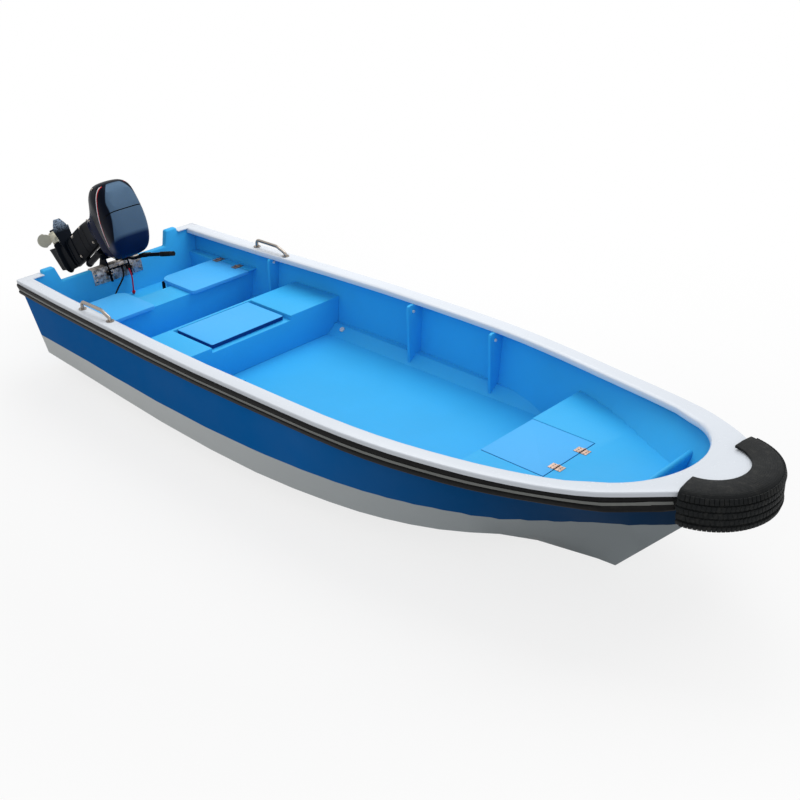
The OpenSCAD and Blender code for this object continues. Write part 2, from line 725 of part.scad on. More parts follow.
drain_x = 1620;
module floor_drain() {
    color("#f0f2f4")
        translate([drain_x, floor_y + 0.7 * chamfer_y, floor_z + 0.7 * chamfer_z])
            rotate([atan2(chamfer_z, chamfer_y), 0, 0])
                translate([0, 0, seat_gap])
                    difference() {
                        cylinder(h = 7, r = 17);
                        translate([0, 0, 3])
                            cylinder(h = 5, r = 9);
                    }
}

// The outboard, drawn upright from its tilt pin, then tilted up
module tilted() {
    translate([pivot_x, 0, pivot_z])
        rotate([0, tilt, 0])
            children();
}
clamp_y = 75;
clamp_t = 12;
hook_in = 32;
screw_z = 520;
screw_r = 8;
tie_x = 92;
tie_z = 548;
fitting_l = 16;
module clamp_bracket() {
    top_z = notch_z + plate_t + 2 * seat_gap;
    in_x = transom_t + plate_t + 2 * seat_gap;
    color("#14161c") {
        for (s = [-1, 1])
            translate([0, s * (clamp_y + clamp_t / 2), 0])
                difference() {
                    rotate([90, 0, 0])
                        linear_extrude(clamp_t, center = true) {
                            polygon([[stern_x(370) - 14, 370], [stern_x(370) - seat_gap, 370],
                                [stern_x(top_z) - seat_gap, top_z], [stern_x(top_z) + in_x + 22, top_z],
                                [stern_x(470) + in_x + 22, 470], [stern_x(470) + in_x + 40, 470],
                                [stern_x(560) + in_x + 36, 540], [pivot_x + 23, pivot_z + 4],
                                [pivot_x, pivot_z + 22], [pivot_x - 22, pivot_z + 8],
                                [stern_x(560) - 30, 560], [stern_x(430) - 34, 430]]);
                            translate([pivot_x, pivot_z])
                                circle(24);
                        }
                    at_screw(0)
                        translate([0, 0, 5])
                            cylinder(h = 60, r = screw_r + seat_gap);
                }
        for (s = [-1, 1])
            at_screw(s * (clamp_y + clamp_t / 2))
                translate([0, 0, 18])
                    difference() {
                        cylinder(h = 26, r = 15);
                        translate([0, 0, -1])
                            cylinder(h = 28, r = screw_r + seat_gap);
                    }
        translate([pivot_x, 0, pivot_z])
            rotate([90, 0, 0])
                cylinder(h = 2 * clamp_y + 50, r = tilt_pin_r, center = true);
        translate([tie_x, 0, tie_z])
            rotate([90, 0, 0])
                cylinder(h = 2 * clamp_y + 4, r = 6, center = true);
        for (e = [HOSE_EXIT, LANYARD_EXIT])
            translate([tie_x, e[0], tie_z])
                rotate([0, 90 + e[1], e[2]])
                    cylinder(h = fitting_l, r = 9);
        for (s = [-1, 1])
            translate([pivot_x, s * (clamp_y + clamp_t + 6), pivot_z])
                rotate([90, 0, 0])
                    cylinder(h = 12, r = 18, center = true, $fn = 6);
    }
}
module at_screw(y) {
    translate([stern_x(screw_z) + transom_t + plate_t + 2 * seat_gap, y, screw_z])
        rotate([0, 90 - rake, 0])
            children();
}
module clamp_screws() {
    color("#9a9da3")
        for (s = [-1, 1])
            at_screw(s * (clamp_y + clamp_t / 2)) {
                cylinder(h = 6, r = 17);
                translate([0, 0, 3])
                    cylinder(h = 72, r = screw_r);
                translate([0, 0, 72])
                    rotate([0, 90, 0])
                        cylinder(h = 70, r = 5, center = true);
            }
}
king_low = -330;
king_high = -62;
module swivel_bracket() {
    color("#14161c")
        tilted()
            difference() {
                union() {
                    rotate([90, 0, 0])
                        cylinder(h = 2 * clamp_y - 6, r = 20, center = true);
                    translate([-king_back, 0, king_low])
                        cylinder(h = king_high - king_low, r = king_r + 10);
                    rotate([90, 0, 0])
                        linear_extrude(2 * clamp_y - 30, center = true)
                            polygon([[-14, 16], [16, 10], [12, -16], [-36, -56], [-50, -110], [-king_back, -120],
                                [-king_back, king_high - 2], [-50, king_high - 2], [-42, king_high + 10]]);
                    rotate([90, 0, 0])
                        linear_extrude(24, center = true)
                            polygon([[-40, -100], [-king_back, king_low + 20], [-king_back, -100]]);
                }
                rotate([90, 0, 0])
                    cylinder(h = 2 * clamp_y, r = tilt_pin_r + 0.05, center = true);
                translate([-king_back, 0, king_low - 1])
                    cylinder(h = king_high - king_low + 100, r = king_r + 0.05);
            }
}
tiller_x = 135;
tiller_z = 250;
tiller_y = 60;
tiller_pin_r = 6;
module steering_yoke() {
    color("#14161c")
        tilted() {
            translate([-king_back, 0, king_low - 24])
                cylinder(h = king_high - king_low + 60, r = king_r);
            translate([-king_back, 0, king_low - 28])
                cylinder(h = 26, r = king_r + 12);
            block(-130, -king_back, -16, 16, king_low - 28, king_low - 2);
            translate([-king_back, 0, king_high + 2])
                cylinder(h = 44 - king_high - 4, r = king_r + 12);
            block(-130, -king_back, -22, 22, king_high + 2, king_high + 30);
            block(-king_back, 62, -20, 20, 30, 43);
            block(32, 62, -20, tiller_y + 12, 30, 43);
            rotate([90, 0, 0])
                translate([0, 0, -tiller_y])
                    linear_extrude(24, center = true)
                        polygon([[40, 30], [66, 30], [122, 140], [tiller_x + 14, tiller_z - 8],
                            [tiller_x + 10, tiller_z + 12], [tiller_x - 12, tiller_z + 10],
                            [106, 150], [52, 43], [40, 43]]);
            translate([tiller_x, tiller_y, tiller_z])
                rotate([90, 0, 0])
                    cylinder(h = 2 * fork_y + 20, r = tiller_pin_r, center = true);
        }
}
// Rounded ring of a moulding: height, rear, front, half-width, taken in by d
function ring(r, d, n = 28, q = 0.55) =
    let(cx = (r[1] + r[2]) / 2, l = (r[2] - r[1]) / 2 - d, w = r[3] - d)
    [for (i = [0:n - 1]) let(a = i * 360 / n, c = cos(a), s = sin(a))
        [cx + l * sign(c) * pow(abs(c), q), w * sign(s) * pow(abs(s), q), r[0]]];
cowl_split = 150;
// Lower cowl: height, rear, front, half-width as a share of the cowl's
PAN = [[-28, -290, -122, 0.42], [-10, -293, -112, 0.45], [43.5, -288, -108, 0.6],
    [45, -290, 40, 0.61], [100, -314, 74, 0.66], [cowl_split - 1, -360, 94, 0.7]];
// Top cowl: height, rear, front, half-width as a share of the cowl's
COWL = [[cowl_split, -361, 94, 0.7], [215, -398, 112, 0.84], [270, -412, 122, 0.94],
    [305, -414, 122, 0.97], [345, -404, 96, 0.96], [375, -394, 50, 0.95], [400, -380, -8, 0.91],
    [420, -364, -70, 0.85], [434, -340, -128, 0.75], [442, -306, -174, 0.6]];
function sized(t) = [for (r = t) [r[0], r[1], r[2], r[3] * cowl_half]];
module lower_cowl() {
    color("#12151c")
        tilted()
            difference() {
                skin([for (r = sized(PAN)) ring(r, 0)]);
                translate([0, 0, 0.01])
                    skin([for (r = sized([PAN[4], PAN[5], [cowl_split + 20, -360, 94, 0.7]]))
                        ring(r, cowl_wall)]);
            }
}
module top_cowl() {
    color("#3d4a58")
        tilted()
            difference() {
                skin([for (r = sized(COWL)) ring(r, 0)]);
                skin([for (r = sized([for (i = [0:len(COWL) - 2]) COWL[i]]))
                    ring(r[0] == cowl_split ? [r[0] - 1, r[1], r[2], r[3]] : r, cowl_wall)]);
            }
}
module engine_block() {
    color("#70757c")
        tilted()
            block(-262, -25, -72, 72, 100.3, 372);
}
vent_z = shaft_drop - 152;
// Leg: height, rear, front, half-width
LEG = [[seat_gap - vent_z, -330, -112, 32], [-430, -326, -108, 32], [-300, -326, -108, 36],
    [-200, -322, -108, 42], [-110, -312, -108, 50], [-60, -302, -108, 57], [-29, -292, -112, 62]];
module exhaust_housing() {
    color("#14161c")
        tilted()
            difference() {
                skin([for (r = LEG) ring(r, 0, 24, 0.6)]);
                block(-131, -60, -23, 23, king_high + 1, king_high + 31);
                block(-131, -60, -17, 17, king_low - 29, king_low - 1);
                translate([-king_back, 0, king_low - 30])
                    cylinder(h = 30, r = king_r + 13);
            }
}
module gearcase() {
    color("#1b1e25")
        tilted() {
            translate([0, 0, -shaft_drop])
                rotate([0, -90, 0]) {
                    translate([0, 0, 125])
                        rotate_extrude()
                            polygon([[0, 0], [10, 3], [22, 14], [31, 32], [gear_r, 66],
                                [gear_r, 160], [32, 238], [0, 238]]);
                    translate([0, 0, 340])
                        cylinder(h = 122, r = shaft_r - 0.05);
                    translate([0, 0, 458])
                        cylinder(h = 16, r = 14, $fn = 6);
                }
            skin([ring([-shaft_drop + 8, -340, -138, 18], 0, 20, 0.9),
                ring([-vent_z - 9 - seat_gap, -330, -116, 32], 0, 20, 0.8)]);
            rotate([90, 0, 0])
                linear_extrude(7, center = true)
                    polygon([[-150, -shaft_drop], [-190, -shaft_drop - 114],
                        [-380, -shaft_drop - 151], [-340, -shaft_drop]]);
        }
}
module anti_vent_plate() {
    color("#23262e")
        tilted()
            translate([0, 0, -vent_z - 9])
                linear_extrude(9)
                    hull() {
                        translate([-150, 0])
                            circle(38);
                        translate([-440, 62])
                            circle(24);
                        translate([-440, -62])
                            circle(24);
                        translate([-500, -40])
                            square([8, 80]);
                    }
}
// Propeller blade as a warped plate: span share against angle, rake and pitch
hub_back = 372;
hub_l = 84;
function blade_point(u, v, side) =
    let(r = 24 + (prop_r - 24) * u, chord = 1.15 * sin(25 + 130 * u) + 0.12,
        a = (v - 0.5) * 95 * chord, x = (v - 0.5) * 62 * chord + 10 * u,
        t = side * (3.2 - 2 * u) * (1 - pow(2 * v - 1, 2) * 0.7))
    [-x + t, r * cos(a), r * sin(a)];
module blade() {
    n = 6;
    skin([for (i = [0:n]) [for (j = [0:6]) blade_point(i / n, j / 6, -1),
        for (j = [6:-1:0]) blade_point(i / n, j / 6, 1)]]);
}
module propeller() {
    color("#b9b8aa")
        tilted()
            translate([-hub_back, 0, -shaft_drop])
                difference() {
                    union() {
                        rotate([0, -90, 0])
                            cylinder(h = hub_l, r1 = 31, r2 = 28);
                        for (a = [90, 210, 330])
                            translate([-hub_l / 2, 0, 0])
                                rotate([a, 0, 0])
                                    blade();
                    }
                    rotate([0, -90, 0])
                        translate([0, 0, -50])
                            cylinder(h = 200, r = shaft_r);
                }
}
module at_tiller() {
    tilted()
        translate([tiller_x, tiller_y, tiller_z])
            rotate([0, -tiller_up, 0])
                children();
}
grip_l = 150;
fork_y = 14;
module tiller_arm() {
    color("#14161c")
        at_tiller() {
            for (s = [-1, 1])
                translate([0, s * (fork_y + 4), 0])
                    difference() {
                        union() {
                            rotate([90, 0, 0])
                                cylinder(h = 8, r = 14, center = true);
                            translate([0, -4, -12])
                                cube([60, 8, 24]);
                        }
                        rotate([90, 0, 0])
                            cylinder(h = 20, r = tiller_pin_r + 0.05, center = true);
                    }
            translate([52, -fork_y - 8, -12])
                cube([20, 2 * fork_y + 16, 24]);
            translate([70, 0, 0])
                rotate([0, 90, 0])
                    cylinder(h = tiller_l - grip_l - 70 - seat_gap, r = 13);
        }
}
module tiller_grip() {
    color("#0e0f12")
        at_tiller()
            translate([tiller_l - grip_l, 0, 0])
                rotate([0, 90, 0])
                    cylinder(h = grip_l, r1 = grip_r, r2 = grip_r - 1);
}

// Exits of the cords from the tie bar: place across, dip and yaw in degrees
HOSE_EXIT = [24, 60, -14];
LANYARD_EXIT = [60, 40, 0];
function leaving(e, d) = [tie_x, e[0], tie_z]
    + d * [cos(e[1]) * cos(e[2]), cos(e[1]) * sin(e[2]), -sin(e[1])];
// Places that the cords pass, in round numbers chosen by hand
HOSE_WAY = [leaving(HOSE_EXIT, fitting_l + seat_gap), leaving(HOSE_EXIT, 42), [124, 9, 487],
    [136, -20, 457], [152, -60, 430], [174, -102, 403], [202, -144, 376], [238, -182, 355],
    [278, -213, 347.4], [318, -233, 347], [356.6, -236, 347]];
LANYARD_WAY = [leaving(LANYARD_EXIT, fitting_l + seat_gap), leaving(LANYARD_EXIT, 40),
    [138, 60, 501], [147, 60, 474], [150, 59, 442], [150, 58, 410], [150, 57, 381],
    [150, 56, 352]];
// Smooth way through the places of p, at t counted in places
function way(p, t) =
    let(i = min(floor(t), len(p) - 2), u = t - i, a = p[max(i - 1, 0)], b = p[i], c = p[i + 1],
        d = p[min(i + 2, len(p) - 1)])
    (2 * b + (c - a) * u + (2 * a - 5 * b + 4 * c - d) * u * u
        + (3 * b - a - 3 * c + d) * u * u * u) / 2;
function route(p, n) = [for (k = [0:n]) way(p, k * (len(p) - 1) / n)];
HOSE = route(HOSE_WAY, 20);
LANYARD = route(LANYARD_WAY, 15);
function unit(v) = v / norm(v);
function heading(p, i) = unit(p[min(i + 1, len(p) - 1)] - p[max(i - 1, 0)]);
function side_of(t) = unit(cross(t, [0.1, 0.99, 0.05]));
function cord_ring(p, i, r, m) = let(t = heading(p, i), s = side_of(t), u = cross(t, s))
    [for (k = [0:m - 1]) p[i] + r * (s * cos(360 * k / m) + u * sin(360 * k / m))];
module cord(p, d, m = 10) skin([for (i = [0:len(p) - 1]) cord_ring(p, i, d / 2, m)]);
module fuel_hose() { color("#101113") cord(HOSE, hose_d); }
module stop_lanyard() { color("#b3202c") cord(LANYARD, lanyard_d); }

module afloat() {
    translate([-midship, 0, 0])
        children();
}
afloat() hull_bottom();
afloat() topside_port();
afloat() topside_starboard();
afloat() transom();
afloat() transom_plate();
afloat() gunwale_cap();
afloat() rub_rail_port();
afloat() rub_rail_starboard();
afloat() rail_insert_port();
afloat() rail_insert_starboard();
afloat() cockpit_floor();
afloat() aft_seat();
afloat() mid_thwart();
afloat() bow_platform();
afloat() knees_port();
afloat() knees_starboard();
afloat() grab_handle_port();
afloat() grab_handle_starboard();
afloat() bow_fender();
afloat() floor_drain();
afloat() fixed_leaves();
afloat() aft_lid_port();
afloat() aft_lid_starboard();
afloat() aft_leaves_port();
afloat() aft_leaves_starboard();
afloat() mid_lid();
afloat() bow_hatch_lid();
afloat() hatch_leaves();
afloat() clamp_bracket();
afloat() clamp_screws();
afloat() swivel_bracket();
afloat() steering_yoke();
afloat() lower_cowl();
afloat() top_cowl();
afloat() engine_block();
afloat() exhaust_housing();
afloat() gearcase();
afloat() anti_vent_plate();
afloat() propeller();
afloat() tiller_arm();
afloat() tiller_grip();
afloat() fuel_hose();
afloat() stop_lanyard();
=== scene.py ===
import json
import math

import bpy
from mathutils import Matrix, Vector
from mathutils.bvhtree import BVHTree


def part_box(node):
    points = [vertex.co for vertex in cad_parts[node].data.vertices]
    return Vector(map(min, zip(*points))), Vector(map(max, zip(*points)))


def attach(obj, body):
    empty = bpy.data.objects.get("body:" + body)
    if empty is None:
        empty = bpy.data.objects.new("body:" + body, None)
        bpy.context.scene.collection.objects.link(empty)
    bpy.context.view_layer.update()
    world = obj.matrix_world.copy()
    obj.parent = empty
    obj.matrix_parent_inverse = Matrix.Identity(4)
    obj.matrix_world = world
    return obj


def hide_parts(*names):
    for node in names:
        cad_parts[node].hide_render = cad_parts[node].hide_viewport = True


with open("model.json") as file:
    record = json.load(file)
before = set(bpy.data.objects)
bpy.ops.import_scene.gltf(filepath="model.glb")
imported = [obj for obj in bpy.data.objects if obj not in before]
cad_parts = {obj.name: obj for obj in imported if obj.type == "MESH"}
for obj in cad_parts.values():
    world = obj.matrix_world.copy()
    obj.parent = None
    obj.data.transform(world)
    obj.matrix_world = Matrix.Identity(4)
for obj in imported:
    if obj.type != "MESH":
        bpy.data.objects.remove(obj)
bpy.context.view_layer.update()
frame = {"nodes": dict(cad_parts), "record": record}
nodes = frame["nodes"]

# The source measures from the transom, the frame from amidships
midship = 2.505
tiltPin = Vector((0.040 - midship, 0, 0.630))
motorTilt = math.radians(53)
upright = Matrix.Translation(tiltPin) @ Matrix.Rotation(motorTilt, 4, "Y")
legAxis = (upright.to_3x3() @ Vector((0, 0, 1))).normalized()


# Camera, fitted to the photograph

camera = {
    "place": (7.041 - midship, -4.273, 3.571),
    "azimuth": 44.715,
    "elevation": 27.63,
    "roll": -1.951,
    "lens": 54.29,
}


def placeCamera():
    az, el, roll = (math.radians(camera[k]) for k in ("azimuth", "elevation", "roll"))
    back = Vector((math.sin(az) * math.cos(el), -math.cos(az) * math.cos(el), math.sin(el)))
    right = Vector((math.cos(az), math.sin(az), 0))
    up = back.cross(right)
    right, up = (
        math.cos(roll) * right + math.sin(roll) * up,
        -math.sin(roll) * right + math.cos(roll) * up,
    )
    data = bpy.data.cameras.new("camera")
    data.lens = camera["lens"]
    data.sensor_width = 36
    data.sensor_fit = "HORIZONTAL"
    data.clip_end = 100
    obj = bpy.data.objects.new("camera", data)
    bpy.context.scene.collection.objects.link(obj)
    turn = Matrix((right, up, back)).transposed().to_4x4()
    obj.matrix_world = Matrix.Translation(camera["place"]) @ turn
    bpy.context.scene.camera = obj


placeCamera()
print("camera placed")


# Cords, along the routes of the solids they stand for

hose = {
    "diameter": 0.012, "reliefRadius": 0.0085, "reliefLength": 0.026,
    "points": (
        (-2.4051, 0.0220, 0.5339), (-2.3996, 0.0211, 0.5243), (-2.3926, 0.0189, 0.5116),
        (-2.3868, 0.0156, 0.4998), (-2.3810, 0.0090, 0.4870), (-2.3753, -0.0036, 0.4721),
        (-2.3690, -0.0200, 0.4570), (-2.3616, -0.0392, 0.4433), (-2.3530, -0.0600, 0.4300),
        (-2.3427, -0.0809, 0.4165), (-2.3310, -0.1020, 0.4030), (-2.3179, -0.1232, 0.3891),
        (-2.3030, -0.1440, 0.3760), (-2.2857, -0.1637, 0.3643), (-2.2670, -0.1820, 0.3550),
        (-2.2472, -0.1986, 0.3499), (-2.2270, -0.2130, 0.3474), (-2.2069, -0.2248, 0.3467),
        (-2.1870, -0.2330, 0.3470), (-2.1652, -0.2357, 0.3470), (-2.1484, -0.2360, 0.3470),
    ),
}
lanyard = {
    "diameter": 0.010, "reliefRadius": 0.0075, "reliefLength": 0.022,
    "points": (
        (-2.4005, 0.0600, 0.5375), (-2.3931, 0.0600, 0.5318), (-2.3835, 0.0600, 0.5235),
        (-2.3757, 0.0600, 0.5145), (-2.3687, 0.0600, 0.5042), (-2.3633, 0.0600, 0.4926),
        (-2.3593, 0.0601, 0.4798), (-2.3567, 0.0598, 0.4658), (-2.3554, 0.0593, 0.4507),
        (-2.3548, 0.0588, 0.4356), (-2.3549, 0.0583, 0.4204), (-2.3550, 0.0579, 0.4060),
        (-2.3550, 0.0574, 0.3925), (-2.3550, 0.0569, 0.3790), (-2.3550, 0.0564, 0.3636),
        (-2.3550, 0.0560, 0.3520),
    ),
}


def cordCurve(name, cord):
    data = bpy.data.curves.new(name, "CURVE")
    data.dimensions = "3D"
    data.bevel_depth = cord["diameter"] / 2
    data.bevel_resolution = 4
    data.resolution_u = 6
    data.use_fill_caps = True
    spline = data.splines.new("BEZIER")
    spline.bezier_points.add(len(cord["points"]) - 1)
    for knot, place in zip(spline.bezier_points, cord["points"]):
        knot.co = place
        knot.handle_left_type = knot.handle_right_type = "AUTO"
    obj = bpy.data.objects.new(name, data)
    bpy.context.scene.collection.objects.link(obj)
    return obj


hoseCurve = cordCurve("hose_line", hose)
lanyardCurve = cordCurve("lanyard_line", lanyard)
print("cords laid")


# Shader maths

class Wire:
    def __init__(self, tree, socket=None):
        self.tree = tree
        self.socket = socket

    def node(self, kind, settings=None, inputs=None, output=0):
        made = self.tree.nodes.new(kind)
        for key, value in (settings or {}).items():
            setattr(made, key, value)
        for key, value in (inputs or {}).items():
            if isinstance(value, Wire):
                self.tree.links.new(value.socket, made.inputs[key])
            else:
                made.inputs[key].default_value = value
        return Wire(self.tree, made.outputs[output])

    def math(self, operation, a, b=0.0, c=0.0):
        return self.node("ShaderNodeMath", {"operation": operation}, {0: a, 1: b, 2: c})

    def __add__(self, other):
        return self.math("ADD", self, other)

    def __radd__(self, other):
        return self.math("ADD", other, self)

    def __sub__(self, other):
        return self.math("SUBTRACT", self, other)

    def __rsub__(self, other):
        return self.math("SUBTRACT", other, self)

    def __mul__(self, other):
        return self.math("MULTIPLY", self, other)

    def __rmul__(self, other):
        return self.math("MULTIPLY", other, self)

    def __gt__(self, other):
        return self.math("GREATER_THAN", self, other)

    def __lt__(self, other):
        return self.math("LESS_THAN", self, other)


def linear(red, green, blue):
    return tuple(
        (c / 255 / 12.92 if c / 255 <= 0.04045 else ((c / 255 + 0.055) / 1.055) ** 2.4)
        for c in (red, green, blue)
    ) + (1.0,)


def shade(colour, by):
    return tuple(max(min(c * by, 1), 0) for c in colour[:3]) + (1.0,)


class Finish:
    def __init__(self, name, constants=None):
        self.material = bpy.data.materials.new(name)
        self.material.use_nodes = True
        tree = self.material.node_tree
        self.shader = tree.nodes["Principled BSDF"]
        self.wire = Wire(tree)
        self.coords = self.wire.node("ShaderNodeTexCoord", output="Object")
        for key, value in (constants or {}).items():
            self.shader.inputs[key].default_value = value

    def mapped(self, scale=(1, 1, 1), turn=(0, 0, 0), place=(0, 0, 0)):
        return self.wire.node(
            "ShaderNodeMapping",
            inputs={"Vector": self.coords, "Scale": scale, "Rotation": turn, "Location": place},
        )

    def noise(self, scale, detail=3.0, rough=0.5, coords=None):
        return self.wire.node(
            "ShaderNodeTexNoise",
            inputs={
                "Vector": coords or self.coords,
                "Scale": scale,
                "Detail": detail,
                "Roughness": rough,
            },
        )

    def ramp(self, value, low, high, bottom=0.0, top=1.0):
        return self.wire.node(
            "ShaderNodeMapRange",
            inputs={0: value, 1: low, 2: high, 3: bottom, 4: top},
        )

    def blend(self, factor, a, b):
        return self.wire.node(
            "ShaderNodeMix", {"data_type": "RGBA"}, {0: factor, 6: a, 7: b}, output=2
        )

    def bump(self, height, strength=0.3, distance=0.001):
        return self.wire.node(
            "ShaderNodeBump",
            inputs={"Height": height, "Strength": strength, "Distance": distance},
        )

    def axes(self, coords):
        apart = self.wire.node("ShaderNodeSeparateXYZ", inputs={0: coords})
        return [Wire(apart.tree, socket) for socket in apart.socket.node.outputs]

    def feed(self, links):
        for key, value in links.items():
            self.wire.tree.links.new(value.socket, self.shader.inputs[key])
        return self.material


# Moulded and painted surfaces: slow mottle, fine dust, light scuffs and a soft ripple

def paintFinish(name, colour, rough, mottle=0.06, dust=0.0, scuff=0.0, ripple=0.1,
                grain=60.0, dustColour=(150, 150, 140), metal=0.0, coat=0.0, paint=None,
                shine=0.2):
    f = Finish(name, {
        "Metallic": metal, "Coat Weight": coat, "Coat Roughness": 0.12,
        "Specular IOR Level": shine,
    })
    slow = f.noise(1.7, 4.0, 0.55)
    fine = f.noise(38.0, 5.0, 0.65)
    spots = f.ramp(f.noise(210.0, 2.0, 0.5), 0.62, 0.78)
    streaks = f.ramp(f.noise(9.0, 4.0, 0.7, f.mapped((1.0, 6.0, 6.0))), 0.56, 0.75)
    base = f.blend(
        f.ramp(slow, 0.3, 0.7), shade(colour, 1 - mottle), shade(colour, 1 + mottle)
    )
    if paint:
        base = paint(f, base)
    grime = f.ramp(fine, 0.45, 0.8) * dust + spots * (dust * 0.6)
    base = f.blend(grime, base, linear(*dustColour))
    base = f.blend(streaks * scuff, base, shade(colour, 1.25))
    roughness = (fine - 0.5) * 0.12 + rough + streaks * (0.16 * (scuff > 0))
    height = f.noise(grain, 2.0, 0.5) + f.noise(grain * 9, 2.0, 0.5) * 0.25
    return f.feed({
        "Base Color": base, "Roughness": roughness, "Normal": f.bump(height, ripple, 0.0012),
    })


def rubberFinish(name, colour, rough=0.55, dust=0.25, grain=420.0, strength=0.25,
                 ringsAt=None):
    f = Finish(name, {"Specular IOR Level": 0.12})
    cloud = f.noise(4.0, 5.0, 0.6)
    fine = f.noise(grain, 3.0, 0.6)
    base = f.blend(f.ramp(cloud, 0.35, 0.7), colour, shade(colour, 1.9))
    base = f.blend(
        f.ramp(f.noise(30.0, 5.0, 0.7), 0.5, 0.85) * dust, base, linear(120, 118, 112)
    )
    height = fine + cloud * 0.5
    if ringsAt:
        flat = f.mapped((1, 1, 0), place=tuple(-c for c in ringsAt))
        away = f.wire.node("ShaderNodeVectorMath", {"operation": "LENGTH"}, {0: flat},
                           output="Value")
        rings = f.wire.math("SINE", away * 620.0) * f.ramp(away, 0.322, 0.312)
        height = height + f.ramp(rings, 0.55, 0.95) * 2.5
    return f.feed({
        "Base Color": base,
        "Roughness": (fine - 0.5) * 0.2 + rough,
        "Normal": f.bump(height, strength, 0.0006),
    })


def metalFinish(name, colour, rough=0.22, brush=(1.0, 1.0, 40.0), stain=0.3, tint=None,
                strength=0.08, blots=14.0):
    f = Finish(name, {"Metallic": 1.0})
    lines = f.noise(60.0, 3.0, 0.6, f.mapped(brush))
    blotch = f.noise(blots, 5.0, 0.65)
    base = f.blend(f.ramp(blotch, 0.4, 0.72) * stain, colour, tint or shade(colour, 0.6))
    return f.feed({
        "Base Color": base,
        "Roughness": (lines - 0.5) * 0.16 + rough + f.ramp(blotch, 0.45, 0.8) * (stain * 0.4),
        "Normal": f.bump(lines, strength, 0.0004),
    })


# Cowl paint in upright coordinates: grey top, dark sides, and a two-colour stripe along each side

cowlPaint = {
    "dark": linear(14, 19, 30), "white": linear(226, 228, 230), "red": linear(190, 26, 34),
    "navy": linear(14, 34, 68), "stripe": 0.010, "edge": 0.003, "skirt": 0.006, "seam": -0.1585,
}


def cowlMasks(f, base):
    back = upright.inverted()
    x, y, z = f.axes(f.mapped(turn=back.to_euler("XYZ"), place=back.to_translation()))
    side = f.wire.math("ABSOLUTE", y)
    ahead = f.wire.math("MAXIMUM", (x + 0.190) * (1 / 0.243), 0.0)
    astern = f.wire.math("MAXIMUM", (x + 0.190) * (-1 / 0.175), 0.0)
    low = (ahead * ahead) * -0.144 + 0.424
    wide = (astern * astern) * -0.083 + 0.1235
    edge = cowlPaint["edge"]
    top = f.ramp(z - low, -edge, edge) * f.ramp(wide - side + ahead * 0.2, -edge, edge)
    base = f.blend(top, cowlPaint["dark"], base)
    along = (x + 0.339) * (1 / 0.309)
    line = (along * along) * 0.055 - along * 0.255 + 0.410
    above = z - line
    flank = (side > 0.085) * (x < 0.0) * (x > -0.350)
    wide = cowlPaint["stripe"]
    white = flank * (above > -wide) * (above < 0.0)
    red = flank * (above > 0.0) * (above < wide)
    base = f.blend(red, f.blend(white, base, cowlPaint["white"]), cowlPaint["red"])
    base = f.blend(f.ramp(x, cowlPaint["skirt"] - 0.014, cowlPaint["skirt"] + 0.014),
                   base, cowlPaint["navy"])
    seam = (f.wire.math("ABSOLUTE", x - cowlPaint["seam"]) < 0.0035) * (z > 0.345)
    return f.blend(seam, base, linear(6, 7, 9))


# Worn paint that shows bare metal at the aft end of the anti-vent plate

def plateWear(f, base):
    back = upright.inverted()
    x, y, z = f.axes(f.mapped(turn=back.to_euler("XYZ"), place=back.to_translation()))
    aft = f.ramp(x, -0.40, -0.49)
    chips = f.ramp(f.noise(90.0, 5.0, 0.75), 0.40, 0.56)
    return f.blend(aft * chips, base, linear(150, 168, 190))


# Blue topside over a grey bottom, parted by a fair line, both darkened towards the bow by painted shade
hullPaint = {
    "line": (0.0425, 0.0241, -0.0310, 0.0342, 0.0861, 0.2879), "edge": 0.0015,
    "trim": ((1.15, 1.42, -0.022), (1.66, 2.0, 0.054), (2.02, 2.12, -0.015)),
    "blue": linear(0, 100, 176), "shadedBlue": linear(1, 36, 62),
    "grey": linear(222, 226, 226), "shadedGrey": linear(160, 168, 172),
}


def hullMasks(f, base):
    x, y, z = f.axes(f.coords)
    along = x * (1 / 2.5)
    line = 0.0
    for share in hullPaint["line"]:
        line = line * along + share
    for start, end, rise in hullPaint["trim"]:
        line = line + f.ramp(x, start, end) * rise
    # painted shade: the topside blue and the bottom grey darken towards the bow
    blue = f.blend(f.ramp(x, 0.3, 2.3), hullPaint["blue"], hullPaint["shadedBlue"])
    grey = f.blend(f.ramp(x, -1.4, 2.0), hullPaint["grey"], hullPaint["shadedGrey"])
    above = f.ramp(z - line, -hullPaint["edge"], hullPaint["edge"])
    cloud = f.ramp(f.noise(1.7, 4.0, 0.55), 0.3, 0.7)
    paint = f.blend(above, grey, blue)
    return f.blend(cloud * 0.05, paint, linear(150, 160, 165))


